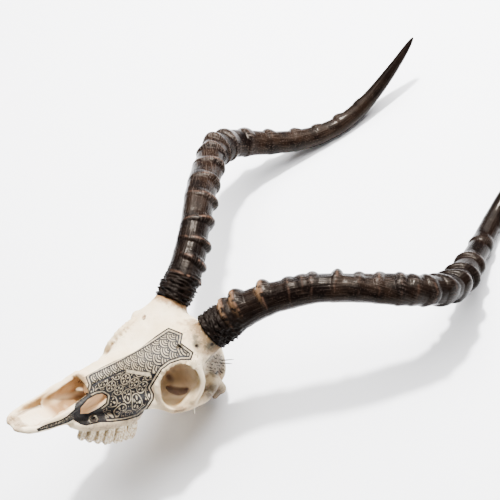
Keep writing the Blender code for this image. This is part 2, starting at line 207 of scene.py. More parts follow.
class Clay:
    """A grid of distances to the surface, negative inside, on the animal's left half."""

    def __init__(self, low, high, step):
        self.step = step
        self.axes = [np.arange(a, b, step) for a, b in zip(low, high)]
        self.axes[0] = np.arange(step / 2, high[0], step)
        self.values = np.full([len(a) for a in self.axes], 99.0, np.float32)

    def window(self, shape, margin):
        """The part of the grid within the margin of a shape, and its three coordinates."""
        spans = [slice(*np.searchsorted(axis, (low - margin, high + margin)))
                 for axis, low, high in zip(self.axes, shape.low, shape.high)]
        x, y, z = (axis[span].astype(np.float32) for axis, span in zip(self.axes, spans))
        return tuple(spans), x[:, None, None], y[None, :, None], z[None, None, :]

    def add(self, shape, width):
        spans, x, y, z = self.window(shape, width + 6)
        self.values[spans] = soft_min(self.values[spans], shape.distance(x, y, z), width)

    def carve(self, shape, width):
        spans, x, y, z = self.window(shape, width + 6)
        self.values[spans] = -soft_min(-self.values[spans], shape.distance(x, y, z), width)

    def both_sides(self):
        self.values = np.concatenate([self.values[::-1], self.values])
        self.axes[0] = np.concatenate([-self.axes[0][::-1], self.axes[0]])

    def surface(self):
        """One point in each cell that the surface crosses, at the mean of its edge crossings,
        and one face round each grid edge that it crosses."""
        f = self.values
        inside = f < 0
        corners = [(i, j, k) for i in (0, 1) for j in (0, 1) for k in (0, 1)]
        size = [n - 1 for n in f.shape]
        count = sum(inside[i:size[0] + i, j:size[1] + j, k:size[2] + k].astype(np.int8)
                    for i, j, k in corners)
        crossed = (count > 0) & (count < 8)
        cells = np.argwhere(crossed)
        number = np.full(size, -1)
        number[crossed] = np.arange(len(cells))
        total, hits = np.zeros((len(cells), 3)), np.zeros(len(cells))
        for start in corners:
            for axis in range(3):
                if start[axis]:
                    continue
                end = [1 if k == axis else start[k] for k in range(3)]
                a = f[tuple((cells + start).T)]
                b = f[tuple((cells + end).T)]
                crosses = (a < 0) != (b < 0)
                share = np.where(crosses, a / np.where(crosses, a - b, 1), 0)
                place = np.tile(np.array(start, float), (len(cells), 1))
                place[:, axis] += share
                total[crosses] += place[crosses]
                hits[crosses] += 1
        points = (cells + total / hits[:, None]) * self.step + [axis[0] for axis in self.axes]
        faces = []
        for axis in range(3):
            u, v = (axis + 1) % 3, (axis + 2) % 3
            low = inside.take(range(f.shape[axis] - 1), axis)
            high = inside.take(range(1, f.shape[axis]), axis)
            edges = np.argwhere(low != high)
            outward = low[tuple(edges.T)]
            quads = []
            for du, dv in ((-1, -1), (0, -1), (0, 0), (-1, 0)):
                cell = edges.copy()
                cell[:, u] += du
                cell[:, v] += dv
                quads.append(number[tuple(cell.T)])
            quads = np.stack(quads, axis=1)
            quads[~outward] = quads[~outward][:, ::-1]
            faces.append(quads)
        return points, np.concatenate(faces)


BONE_STEP = 1.2                 # size of the clay's cells
BODY = (                        # sections: y, top, bottom, half width low, half width high
    (46, 38, 21, 16, 15), (62, 49, 20, 20, 15), (80, 60, 20, 25, 15), (102, 68, 20, 29, 17),
    (122, 73, 20, 34, 21), (138, 77, 25, 36, 29), (152, 86, 33, 33, 40), (166, 95, 40, 28, 49),
    (180, 101, 42, 26, 57), (196, 104, 40, 25, 52), (212, 101, 33, 27, 38), (228, 91, 24, 31, 30),
    (242, 77, 18, 32, 26), (251, 65, 20, 26, 22),
)
SQUARENESS = 2.6                # of the sections: 2 is an ellipse, higher is squarer
BRAINCASE = ((0, 222, 56), (31, 31, 30))        # a ball's centre, half axes and turn, if it has one
OCCIPUT = ((0, 244, 44), (33, 9, 24))
EAR_BULLA = ((21, 226, 16), (8, 13, 9))
CONDYLE = ((12, 252, 20), (8, 9, 11), 20, "Y")
CONDYLE_FLAT = 0.85             # where its worn flat is carved; weathered() swells it down again
NOSE_HOLLOW = (
    (36, 40, 25, 10, 10), (50, 44, 25, 13, 11), (64, 50, 25, 16, 11), (80, 57, 25, 20, 12),
    (102, 64, 26, 23, 14), (120, 68, 30, 20, 16), (136, 66, 38, 10, 12),
)
PREMAXILLA = ((5.8, 6.4, 20.8, 2.7), (10.8, 11.5, 21.3, 3.4), (14.9, 24, 22.5, 3.8), (17.5, 42, 26, 4.2),
              (19, 56, 30, 4.8))
NOSE_SIDE = ((15, 28, 27, 2.6), (17, 46, 32, 2.8), (17.8, 58, 37, 3), (17, 72, 43, 3), (15.5, 84, 52, 3))
NOSE_OPENING = (((0, 80, 49), (0, -0.435, 0.9)), ((0, 79.5, 50), (0, -0.9, -0.42)))
NOSE_TIP = ((0, 9, 20.4), (7, 4.6, 2.3))
SIDE_SLOT = ((21, 82, 41.5), (12, 15.5, 6), 22, "X")    # the gap beside the nasal bones
PALATE = ((8, 23, 18, 5, 5), (22, 24, 17.5, 10, 10), (40, 25, 17.5, 15, 15), (62, 26, 18, 18, 18))
SLOT_WALL = ((16.4, 84, 40), (1.9, 21, 9), 24, "X")
TURBINALS = ((0, 122, 44), (17, 36, 17))
NASAL_SUTURE = ((10.6, 80, 54.5, 0.9), (11.8, 90, 60, 1.0), (12.7, 98, 62.6, 1.0),
                (13.2, 107, 65.4, 0.9), (14.2, 117, 68.4, 0.7))
CHEEK_FORAMEN = ((29, 80, 28.5, 2.1), (22, 84, 26, 2.1))
FORAMEN_LIP = ((26.6, 81.5, 27.5), (0.6, 3.6, 1.6), (0.6, -1.4, 3.0))
BROW_HOLE = ((29, 168.5, 93.5), (2.4, 2.2, 2.6))
PEDICLE_HOLE = ((39.8, 180.4, 99.9, 1.5), (36, 180, 96, 1.2))
PEDICLE_PIT = ((46, 194, 103), (1.6, 1.6, 1.6))
EAR_HOLE = ((46.5, 212, 46), (3.4, 2.6, 2.0))
FACE_GAP = ((14.2, 117, 69, 0.7), (17.5, 123, 68.6, 1.0), (21.5, 130, 67.6, 0.9), (26, 136, 67.4, 0.5))
TOOTH_ROW = ((20, 62, 22, 4.4), (22.5, 76, 19, 6.2), (26, 92, 19, 7.2), (28, 108, 19, 7.8),
             (28.8, 124, 20, 7.8), (26.5, 136, 24, 7), (16, 150, 34, 5), (12, 182, 32, 3.4))
CHEEK = ((25, 112, 36, 8), (31, 132, 38, 8.5), (40, 148, 41, 8), (50, 160, 37, 5))
BEHIND_EYE = ((44.5, 176, 84, 6), (54, 185, 66, 4.6), (56, 180, 48, 4.2))
ORBIT_TURN = -15
ORBIT_SWELL = ((35.5, 168, 57.5), (20, 27.5, 28), ORBIT_TURN)
ORBIT_RIM = ((45.7, 165.4, 60.4), (6.3, 24.0, 1.0), (-6.5, 2.8, 24.6))
ORBIT_HOLLOW = ((46.5, 163.9, 61.0), (29, 20.9, 23.0), ORBIT_TURN)
ORBIT_CORNERS = (((44.9, 175.9, 72.8), (8, 8, 8)), ((40.1, 156.1, 70.7), (7, 7, 7)))
ORBIT_SILL = ((52.5, 186.9, 57.3, 2.8), (52.8, 177.4, 47.0, 3.6), (52.7, 166.7, 38, 2.8))
ORBIT_FORAMEN = ((25.5, 173.5, 52.5), (6, 3.6, 3.6))
ORBIT_FISSURE = ((26.5, 171, 43.2, 1.8), (31, 173.6, 43.0, 3.2), (37, 178.3, 43.6, 3.6),
                 (43.5, 184, 48, 2.4))
ZYGOMATIC_ARCH = ((52, 156, 40, 4.6), (55, 174, 39, 4.2), (52, 200, 40, 4), (44, 217, 42, 5),
                  (34, 228, 44, 6))
PEDICLE = ((25, 186, 84, 19), (29, 197, 96, 18), (31, 204, 104, 17.2), (33, 207, 110, 16.6))
EAR_PROCESS = ((33, 226, 46, 7), (36, 240, 34, 6), (30, 245, 26, 6), (27, 247, 16, 3))
SKULL_BASE = ((0, 150, 44, 9), (0, 200, 30, 11), (0, 246, 22, 12))
BRAIN_HOLE = ((0, 285, 30, 8.5), (0, 240, 42, 8.5))
ROUGH_BROWS = (((50, 160, 84), (8, 22, 14)), ((36, 145, 72), (8, 14, 16)))
# The left horn's centre line from the mouth of the sheath to the tip; the right one mirrors it
HORN_LINE = (
    (31, 204, 106), (46, 226, 140), (69, 250, 169), (97, 276, 188), (128, 306, 200),
    (157, 339, 209), (165, 379, 212), (151, 422, 217), (134, 462, 228), (120, 495, 250),
    (112, 521, 285), (107, 540, 325), (102, 555, 368),
)
HORN_LENGTH = 530
HORN_MOUTH, just_above = spline(range(len(HORN_LINE)), HORN_LINE, (0.0, 0.05))
HORN_WAY = unit(just_above - HORN_MOUTH)
STUB_LENGTH = 24
STUB_RADII = (14.0, 12.4)
STUB_OVERLAP = 3                # how far the stub starts inside the skull
GAP = 0.3                       # play between the stub and the sheath


def bone_clay():
    """The left half of the skull, still solid."""
    clay = Clay((0, -4, 0), (68, 268, 136), BONE_STEP)
    clay.add(Sections(BODY, SQUARENESS, 4), 1)
    clay.add(Ball(*BRAINCASE), 6)
    clay.add(Ball(*OCCIPUT), 5)
    clay.add(Bar(SKULL_BASE), 5)
    clay.add(Bar(PEDICLE), 9)
    clay.add(Bar(TOOTH_ROW), 5)
    clay.add(Bar(CHEEK), 8)
    clay.add(Ball(*ORBIT_SWELL), 5)
    clay.add(Bar(BEHIND_EYE), 6)
    clay.add(Bar(ZYGOMATIC_ARCH), 4)
    clay.add(Hoop(*ORBIT_RIM, 2.9), 2.5)
    clay.add(Bar(EAR_PROCESS), 4)
    clay.add(Ball(*EAR_BULLA), 4)
    clay.add(Ball(*CONDYLE), 3)
    return clay


def hollow_out(clay):
    """The nose, the slots beside it, the eye sockets, the braincase and the stub for the horn."""
    clay.carve(Sections(NOSE_HOLLOW, SQUARENESS, 3), 2)
    clay.carve(Wedge(NOSE_OPENING, (-1, -2, 20), (34, 86, 75)), 0.8)
    clay.carve(Ball(*SIDE_SLOT), 1.2)
    clay.add(Bar(PREMAXILLA), 2)
    clay.add(Bar(NOSE_SIDE), 2)
    clay.add(Sections(PALATE, 3, 4), 2.5)
    clay.add(Ball(*NOSE_TIP), 2)
    clay.add(Ball(*SLOT_WALL), 1)
    clay.add(Ball(*TURBINALS), 2)
    clay.carve(Ball(*ORBIT_HOLLOW), 1)
    for corner in ORBIT_CORNERS:
        clay.carve(Ball(*corner), 2)
    clay.add(Bar(ORBIT_SILL), 4)
    clay.carve(Bar(BRAIN_HOLE), 1.5)
    seat = Wedge(((HORN_MOUTH - GAP * HORN_WAY, HORN_WAY),), (0, 170, 85), (60, 240, 136))
    clay.carve(seat, 0.5)
    low = HORN_MOUTH - STUB_OVERLAP * HORN_WAY
    high = HORN_MOUTH + (STUB_LENGTH - STUB_RADII[1]) * HORN_WAY
    clay.add(Bar(((*low, STUB_RADII[0]), (*high, STUB_RADII[1]))), 0.5)
    return clay


def small_marks(clay):
    """Holes for nerves and vessels, the suture beside the nasal bones, the gaps in the orbit, and
    the worn flat under the condyle."""
    clay.add(Hoop(*FORAMEN_LIP, 1.1), 1.5)
    clay.carve(Bar(CHEEK_FORAMEN), 0.8)
    clay.carve(Bar(NASAL_SUTURE), 0.6)
    clay.carve(Bar(FACE_GAP), 0.8)
    clay.carve(Ball(*ORBIT_FORAMEN), 2)
    clay.carve(Bar(ORBIT_FISSURE), 2)
    clay.carve(Ball(*BROW_HOLE), 1)
    clay.carve(Bar(PEDICLE_HOLE), 0.8)
    clay.carve(Ball(*PEDICLE_PIT), 0.5)
    clay.carve(Ball(*EAR_HOLE), 0.8)
    down = (0, math.sin(PITCH), -math.cos(PITCH))
    worn = (0, 0, -ORIGIN_UP / math.cos(PITCH) + CONDYLE_FLAT)
    clay.carve(Wedge(((worn, down),), (0, 230, 0), (30, 268, 30)), 0.3)
    return clay


def mesh_object(name, points, faces):
    """A mesh object at the origin with its place in its vertices."""
    mesh = bpy.data.meshes.new(name)
    mesh.from_pydata(stood(points).tolist(), [], [list(map(int, face)) for face in faces])
    mesh.validate()
    mesh.polygons.foreach_set("use_smooth", [True] * len(mesh.polygons))
    item = bpy.data.objects.new(name, mesh)
    bpy.context.scene.collection.objects.link(item)
    return item


def weathered(clay):
    """Low swellings all over, and a coarse surface on the brow edges, as on dry bone."""
    x, y, z = (axis.astype(np.float32) for axis in clay.axes)
    x, y, z = x[:, None, None], y[None, :, None], z[None, None, :]
    skin = np.abs(clay.values) < 4
    low = 0.22 * waves(x, y, z, 26, 1) + 0.10 * waves(x, y, z, 9, 2)
    brow = sum(np.exp(-((np.abs(x) - at[0]) / reach[0])**2 - ((y - at[1]) / reach[1])**2
                      - ((z - at[2]) / reach[2])**2) for at, reach in ROUGH_BROWS)
    coarse = brow * 0.5 * waves(x, y, z, 5, 3)
    clay.values = np.where(skin, clay.values + low + coarse, clay.values)
    return clay


class Shade:
    """A socket in a material's nodes.  Sums, products and powers of it add Math nodes."""

    def __init__(self, tree, socket=None):
        self.tree, self.socket = tree, socket

    def node(self, kind, settings, inputs, output=0):
        """Any node, from its type, its settings and its inputs by name or number."""
        made = self.tree.nodes.new(kind)
        for name, value in settings.items():
            setattr(made, name, value)
        for name, value in inputs.items():
            if isinstance(value, Shade):
                self.tree.links.new(value.socket, made.inputs[name])
            else:
                made.inputs[name].default_value = value
        return Shade(self.tree, made.outputs[output])

    def math(self, operation, *terms):
        return self.node("ShaderNodeMath", {"operation": operation}, dict(enumerate(terms)))

    def __add__(self, other):
        return self.math("ADD", self, other)

    def __sub__(self, other):
        return self.math("SUBTRACT", self, other)

    def __rsub__(self, other):
        return self.math("SUBTRACT", other, self)

    def __mul__(self, other):
        return self.math("MULTIPLY", self, other)

    def __truediv__(self, other):
        return self.math("DIVIDE", self, other)

    def __pow__(self, other):
        return self.math("POWER", self, other)

    def __abs__(self):
        return self.math("ABSOLUTE", self)

    __radd__, __rmul__ = __add__, __mul__

    def least(self, other):
        return self.math("MINIMUM", self, other)

    def most(self, other):
        return self.math("MAXIMUM", self, other)

    def fraction(self):
        return self.math("FRACT", self)

    def rise(self, low, high):
        """0 up to the low value, 1 from the high one on, with a soft step between."""
        return self.node("ShaderNodeMapRange", {"interpolation_type": "SMOOTHSTEP"},
                         {"Value": self, "From Min": low, "From Max": high})

    def line(self, centre, half):
        """1 within the half width of the centre, else 0, with a soft step of half a mm between."""
        return 1 - abs(self - centre).rise(half - 0.25, half + 0.25)

    def mix(self, under, over):
        """The colour over laid on the colour under by this share."""
        return self.node("ShaderNodeMix", {"data_type": "RGBA"}, {0: self, 6: under, 7: over}, 2)

    def moved(self, operation, other):
        """Vector arithmetic on this vector."""
        return self.node("ShaderNodeVectorMath", {"operation": operation}, {0: self, 1: other})

    def attribute(self, name):
        return self.node("ShaderNodeAttribute", {"attribute_name": name}, {}, "Fac")

    def noise(self, place, size, detail):
        """Noise between 0 and 1 with features of the given size in the place's own unit."""
        return self.node("ShaderNodeTexNoise", {},
                         {"Vector": place, "Scale": 1.0 / size, "Detail": detail})


def colour(red, green, blue):
    return red, green, blue, 1.0


def new_paint(name, **constants):
    """A material with one shader, its fixed values set, and a Shade to build on."""
    material = bpy.data.materials.new(name)
    material.use_nodes = True
    shader = material.node_tree.nodes["Principled BSDF"]
    for key, value in constants.items():
        shader.inputs[key.replace("_", " ")].default_value = value
    start = Shade(material.node_tree)
    place = start.node("ShaderNodeTexCoord", {}, {}, "Object").moved("MULTIPLY", (1000, 1000, 1000))
    return material, start, place


def finish_paint(material, base, roughness, height, depth):
    """Link colour and roughness, and a height map as a bump of the given depth in mm."""
    shader = material.node_tree.nodes["Principled BSDF"]
    bump = base.node("ShaderNodeBump", {}, {"Height": height, "Distance": depth / 1000, "Strength": 1.0})
    for name, value in (("Base Color", base), ("Roughness", roughness), ("Normal", bump)):
        material.node_tree.links.new(value.socket, shader.inputs[name])


# The side view that the ink is laid out in: right, down and ahead of an eye at a place, in mm
EYE_WAYS = ((0.657, 0.702, 0.274), (0.482, -0.113, -0.869), (-0.580, 0.703, -0.413))
EYE_PLACE = (760, -660, 718)
EYE_SPREAD, EYE_MIDDLE = 1278.85, 250
INK_REGION = (          # outline of the inked part of the left side in that view
    (87, 373), (104, 365), (120, 357), (138, 347), (148, 341), (160, 333), (168, 327.6), (183, 333.6),
    (181, 343), (193.6, 352.4), (191, 360.4), (181, 360.4), (170, 364), (162, 370), (156, 380), (151, 388),
    (154, 394), (153.6, 400), (147, 410), (138, 417), (126, 420.6), (112, 422.4), (100, 422.6),
    (94, 424), (86, 426), (80, 424.6), (73, 420), (68, 422.8), (54, 427.4), (38, 431.8), (36, 429),
    (46, 424.4), (60, 420), (67, 416), (74, 409.5), (75, 404), (80, 397.5), (86, 391.5), (88, 385), (85, 377),
)
INK_HOLE = (            # the slot beside the nose, which it leaves out
    (80, 414), (80.5, 408), (88, 399.5), (96, 395), (102, 393.8), (106.5, 396.5), (105.5, 403), (98, 408.5),
    (88, 413.6),
)
FORAMEN = (93, 419.5)           # the hole in the cheek, in that view
# Painted shade in the carved nerve and vessel holes: centre and reach of each near-black spot
SHADED_HOLE_SPOTS = (((25, 82, 25), (4.4, 4.2, 4.2)), ((45.5, 194.5, 102.8), (2.2, 2.2, 2.2)),
              ((-26.5, 167, 93.5), (2.4, 2.4, 2.4)), ((39.2, 180.6, 99.2), (2.3, 2.3, 2.3)))
# Real brown stains at the nose tip and the nasal ends; the third entry is painted shade under the eye
# socket's rim
STAINS_AND_RIM_SHADE = (              # brown, on both sides: strength, centre and reach
    (0.75, (5, 10, 22), (12, 11, 8)), (0.9, (3, 76, 58), (13, 7, 6)), (0.95, (58, 163, 38.5), (7, 12, 5)),
)
# Dark smudges; the last entry is painted shade in the ear opening
SMUDGES_AND_EAR_SHADE = (             # dark, on the left side: strength, centre and reach
    (1, (44, 193, 101), (8, 9, 8)), (1, (38, 181, 100), (7, 6, 8)), (0.8, (33, 181, 106), (7, 5, 6)),
    (1, (44, 196, 84), (8, 6, 9)), (1, (46, 212, 47), (8, 7, 6)),
)


def seen(points):
    """Where points lie in the side view: to the right and down, about 1 to a mm."""
    right, down, ahead = ((points - EYE_PLACE) @ np.array(way) for way in EYE_WAYS)
    return EYE_MIDDLE + EYE_SPREAD * right / ahead, EYE_MIDDLE + EYE_SPREAD * down / ahead


def side_place(x, y, z):
    """Where a point lies on the side of the face: how far along, and how far round from the top
    line, which is the angle about the middle of the head times its mean radius there."""
    table = np.array(BODY)
    top, bottom, low, high = spline(table[:, 0], table[:, 1:], y).T
    middle = (top + bottom) / 2
    angle = np.arctan2(x, z - middle)
    away = np.hypot(x, z - middle)
    return y, angle * (top - bottom + low + high) / 4, np.stack([x, 0 * x, z - middle], -1) / away[:, None]


def depth_inside(along, across, outline):
    """Distance to the nearest edge of an outline, positive within it."""
    nearest = np.full(len(along), 1e9)
    inside = np.zeros(len(along), bool)
    for (a0, c0), (a1, c1) in zip(outline, outline[1:] + outline[:1]):
        run_a, run_c = a1 - a0, c1 - c0
        share = np.clip(((along - a0) * run_a + (across - c0) * run_c) / (run_a**2 + run_c**2), 0, 1)
        nearest = np.minimum(nearest, np.hypot(along - a0 - share * run_a, across - c0 - share * run_c))
        spans = (a0 > along) != (a1 > along)
        inside ^= spans & (across < c0 + (along - a0) * run_c / (run_a if run_a else 1))
    return np.where(inside, nearest, -nearest)


def outward_ways(points, faces):
    """Unit normals at the points, from the faces round each."""
    corners = points[faces]
    normal = np.cross(corners[:, 2] - corners[:, 0], corners[:, 3] - corners[:, 1])
    total = np.zeros_like(points)
    for k in range(4):
        np.add.at(total, faces[:, k], normal)
    return unit(total + 1e-12)


def sunk(points, faces, ways, rounds):
    """How far each point lies below the mean of its surroundings: positive in hollows."""
    ends = np.concatenate([faces[:, [0, 1]], faces[:, [1, 2]], faces[:, [2, 3]], faces[:, [3, 0]]])
    count = np.bincount(ends[:, 0], minlength=len(points))[:, None]
    mean = points.copy()
    for _ in range(rounds):
        mean = np.stack([np.bincount(ends[:, 0], mean[ends[:, 1], k], len(points))
                         for k in range(3)], axis=1) / count
    return np.sum((mean - points) * ways, axis=1)


def near(points, centre, reach):
    """1 at the centre, fading to 0 a few reaches away (one reach for each axis)."""
    return np.exp(-np.sum(((points - centre) / reach)**2, axis=1))


def spot(right, down, place, reach):
    """1 at a place in the side view, fading to 0 a few reaches away (one reach for each way)."""
    return np.exp(-((right - place[0]) / reach[0])**2 - ((down - place[1]) / reach[1])**2)


def ramp(value, start, end):
    """0 at the start, 1 at the end, straight between and held beyond; the end may be the lower."""
    return np.clip((value - start) / (end - start), 0, 1)


def bone_marks(points, faces):
    """The values that the bone's colours read at each point of the mesh."""
    x, y, z = points.T
    both = np.abs(points)
    ways = outward_ways(points, faces)
    along, across, radial = side_place(x, y, z)
    facing = np.sum(ways * radial, axis=1)
    right, down = seen(points)
    toward = np.sum(ways * unit(EYE_PLACE - points), axis=1)
    eye_right, eye_down = seen(both)

    # The ink's edge: the outline in the side view, without the slot and what faces away from it
    in_nose = ramp(Sections(NOSE_HOLLOW, SQUARENESS, 3).distance(x, y, z), 1.2, 0.2) * (y < 130)
    edge = np.minimum(depth_inside(right, down, INK_REGION), -depth_inside(right, down, INK_HOLE))
    edge = edge - 9 * ramp(toward, -0.05, -1.05) - 9 * ramp(x, 0.6, -0.4)
    edge = edge - 9 * ramp(y, 140, 144) * ramp(z, 38, 35) - 9 * in_nose * (facing < 0.3)

    # The nose: brown inside but for the front of its floor, and golden where the bone is thin
    floor = ramp(z, 29, 26) * ramp(y, 40, 31)
    slot_depth = depth_inside(right, down, INK_HOLE)
    in_slot = ramp(slot_depth, -1.5, -0.5) * ramp(x, 22.5, 20.5) * (x > 0) * (y < 125)
    inner = np.clip(-ways[:, 0] * np.sign(x) * 1.6, 0, 1) * (y < 84) * (y > 9) * (z > 25) * (both[:, 0] < 19)
    frayed = spot(right, down, (80, 382), (9, 6)) * (x < 8) * (y < 100)
    tan = np.maximum.reduce([in_nose * (1 - floor) * np.clip((y - 12) / 40, 0.25, 1), in_slot,
                             0.75 * inner * ramp(y, 5, 23), near(points, (-5, 80, 60), (9, 6, 8)), frayed])
    golden = np.maximum(inner * ramp(y, 12, 22) * ramp(y, 62, 54),
                        spot(right, down, (80, 380), (8, 6)) * (y < 84) * (both[:, 0] < 14))

    # The foot of each horn: amber where its sheath ends, and a wider stain
    mirror = np.where(x[:, None] < 0, (-1, 1, 1), 1)
    below = np.clip(-np.sum((points - HORN_MOUTH * mirror) * (HORN_WAY * mirror), axis=1), 0, 99)
    amber = np.exp(-below / 8) * (np.abs(both[:, 0] - 33) < 24) * (z > 84)
    foot_stain = np.exp(-below / 24) * (z > 70) * np.where(x > 0, 1.0, 0.5)

    # The eye socket: its rim, its bowl and the holes deep in it
    eye = Ball(*ORBIT_HOLLOW).distance(both[:, 0], y, z)
    out = ((both - ORBIT_RIM[0]) * unit(np.cross(*ORBIT_RIM[1:]))).sum(axis=1)
    in_hollow = np.clip((1.5 - eye) / 2.5, 0, 1)
    socket = in_hollow * np.clip((3 - out) / 14, 0, 1)
    bowl = in_hollow * np.clip((1.5 - out) / 3, 0, 1) * (y > 140)
    foramen = np.clip((3.2 - Ball(*ORBIT_FORAMEN).distance(both[:, 0], y, z)) / 4.4, 0, 1)
    fissure = np.clip((2.6 - Bar(ORBIT_FISSURE).distance(both[:, 0], y, z)) / 3.2, 0, 1)
    long_shade = np.exp(-(((eye_right - 178.5) / 14)**2 + ((eye_down - 392) / 4.4)**2)**2)
    shades = np.maximum(long_shade, spot(eye_right, eye_down, (171, 379), (4.2, 4.2)))

    # Behind the eye: the temple, and the ear region darkened with painted shade and some dirt
    back = ramp(y, 193, 197)
    temple = back * spot(eye_right, eye_down, (216, 365), (9, 11))
    ear_shade_and_dirt = np.maximum(back * spot(eye_right, eye_down, (214, 391), (13, 9)),
                     0.8 * near(both, (52, 207, 43.5), (8, 14, 7)))
    return {
        "along": along, "across": across, "ink_edge": edge, "tan": tan, "amber": amber, "socket": socket,
        # painted shade, with some grime, darker the deeper a spot is sunk below its surroundings
        "hollow_shade_and_grime": np.clip(sunk(points, faces, ways, 7) / 0.9, -1, 1),
        "hatch": temple * (x > 0), "temple": temple, "ear_shade_and_dirt": ear_shade_and_dirt, "frayed": frayed, "golden": golden,
        "lit_tan": in_nose * ramp(z, 31, 28) * ramp(y, 47, 55),
        "nose_floor": in_nose * ramp(z, 28.2, 26.2) * ramp(y, 44, 54),
        "rim": np.exp(-(eye / 4.5)**2 - (out / 6)**2), "in_slot": in_slot,
        # painted light: a pale patch high in the back of the eye socket
        "vault_painted_light": near(both, (38, 188, 68), (14, 9, 13)) * bowl,
        "socket_floor": bowl * ramp(eye_down, 396, 400),
        "shaded_hole": np.maximum(np.maximum(0.75 * foramen, fissure) * (eye < 12),
                                  socket * (y > 150) * shades),
        "foramen": np.hypot(right - FORAMEN[0], down - FORAMEN[1]) + 9 * (toward < 0) + 9 * (x < 0),
        # painted shade inside the carved holes
        "hole_shade": np.maximum.reduce([near(points, *hole) for hole in SHADED_HOLE_SPOTS]),
        "brow": near(both, (46, 165, 86), (12, 24, 12)) + near(both, (34, 145, 72), (9, 13, 18)),
        # stains at the horn feet and nose, and painted shade under the eye socket's rim
        "stain_and_shade": np.maximum.reduce([foot_stain] + [share * near(both, *at) for share, *at in STAINS_AND_RIM_SHADE]),
        # dark smudges, and painted shade in the ear opening
        "smudge_and_shade": np.maximum.reduce([share * near(points, *at) for share, *at in SMUDGES_AND_EAR_SHADE]),
        # low: painted shade, with some dirt, darkening the jaw by the teeth, below the eye socket, behind the
        # eye and low on the cheek
        "low": ramp(z, 34, 20) * ramp(y, 66, 76) * (both[:, 0] > 17)
               + 0.8 * near(both, (34, 222, 60), (17, 26, 24))
               + 0.7 * near(both, (50, 178, 37), (16, 26, 8)) * (socket < 0.2)
               + 0.6 * near(both, (36, 142, 26), (12, 14, 9)),
    }


def give(item, marks):
    """Store each list of values as an attribute of the mesh's points."""
    for name, values in marks.items():
        layer = item.data.attributes.new(name, "FLOAT", "POINT")
        layer.data.foreach_set("value", np.asarray(values, np.float32))


def rosettes(along, across, spacing):
    """Ink of flowers on two interleaved square lattices: five light petals in a light ring, each
    flower of its own size, on a dark ground with light dots."""
    u, v = along / spacing, across / spacing
    first = [q.fraction() - 0.5 for q in (u, v)]
    second = [(q + 0.5).fraction() - 0.5 for q in (u, v)]
    far = [(q[0] * q[0] + q[1] * q[1]) ** 0.5 for q in (first, second)]
    pick = (far[0] - far[1]).rise(-0.001, 0.001)
    du = first[0] + (second[0] - first[0]) * pick
    dv = first[1] + (second[1] - first[1]) * pick
    centre = u.node("ShaderNodeCombineXYZ", {}, {0: u - du, 1: v - dv, 2: pick})
    cell = centre.moved("SNAP", (0.25, 0.25, 0.25))
    chance = u.node("ShaderNodeTexWhiteNoise", {"noise_dimensions": "3D"}, {"Vector": cell})
    away = far[0].least(far[1]) * spacing / (0.86 + 0.2 * chance)
    petals = u.math("COSINE", u.math("ARCTAN2", dv, du) * 5 + chance * 9).rise(0.1, 0.5)
    light = away.line(4.9, 0.30).most(petals * away.line(2.6, 1.0)).most(1 - away.rise(0.4, 0.65))
    dots = u.node("ShaderNodeTexVoronoi", {"voronoi_dimensions": "2D"},
                  {"Vector": u.node("ShaderNodeCombineXYZ", {}, {0: along, 1: across}), "Scale": 0.42,
                   "Randomness": 0.8}, "Distance")
    return 1 - light.most(away.rise(5.9, 6.1) * (1 - dots.rise(0.16, 0.24)))


def scales(along, across, width):
    """Ink of rows of overlapping round scales, each row half a scale over from the last and a
    quarter of a scale on, with arcs drawn about each scale's centre."""
    step = width / 4
    first = (along / step).math("FLOOR", along / step)
    radius = None
    for row in (-1, 0, 1, 2):
        number = first + row
        side = ((across / width + number * 0.5).fraction() - 0.5) * width
        up = along - number * step
        own = (side * side + up * up)**0.5
        inside = 1 - own.rise(width / 2 - 0.05, width / 2 + 0.05)
        radius = own if radius is None else radius + (own - radius) * inside
    arcs = [radius.line(width / 2 - inset, 0.62) for inset in (0.6, 2.7, 4.8, 6.9)]
    return arcs[0].most(arcs[1]).most(arcs[2]).most(arcs[3])


def ink_cover(start, place):
    """How much ink lies on the bone, from the marks: a border of two lines, scales along the
    top, flowers on the cheek, a speckled taper by the nose, and hatching behind the eye."""
    along, across = start.attribute("along"), start.attribute("across")
    edge, foramen = start.attribute("ink_edge"), start.attribute("foramen")
    limit = 13.2 + (along - 86) * 0.035 + (along - 117).most(0.0) * 0.72
    seam = across - limit
    cheek = seam.rise(-0.05, 0.05)
    bare = seam.line(0.0, 1.8) * along.rise(118, 120) * (1 - along.rise(139, 140))
    field = scales(along, across, 16.0) * (1 - cheek) + rosettes(along, across, 15.5) * cheek
    solid = 1 - (along - across * 0.62).rise(65.0, 67.0)
    solid = solid.most(1 - foramen.rise(6.6, 7.4))
    speckle = start.noise(place, 0.9, 1.0).rise(0.50, 0.62)
    field = field + (0.99 - speckle * (0.62 - 0.56 * along.rise(46, 64)) - field) * solid
    field = field.most(seam.line(0.0, 1.0)) * (1 - bare)
    field = field.most(seam.line(-2.3, 0.45) * along.rise(118, 120) * (1 - along.rise(139, 140)))
    ring = foramen.line(3.9, 0.8)
    field = field * (1 - ring)
    light_band = edge.line(2.25, 0.7) * (1 - solid)
    field = (field * (1 - light_band)).most(edge.line(3.6, 0.75) * (1 - solid)).most(edge.line(0.75, 0.85))
    field = field * edge.rise(-0.1, 0.1)
    worn = start.noise(place, 3.0, 3.0).rise(0.2, 0.5) * 0.05 + 0.95
    strokes = start.math("SINE", start.noise(place, 9.0, 3.0) * 14 + across * 1.7 + along * 0.6)
    gaps = start.noise(place, 4.0, 3.0).rise(0.40, 0.55)
    hatch = start.attribute("hatch").rise(0.15, 0.5) * strokes.rise(0.0, 0.6) * gaps * 0.92
    return (field * worn).most(hatch)


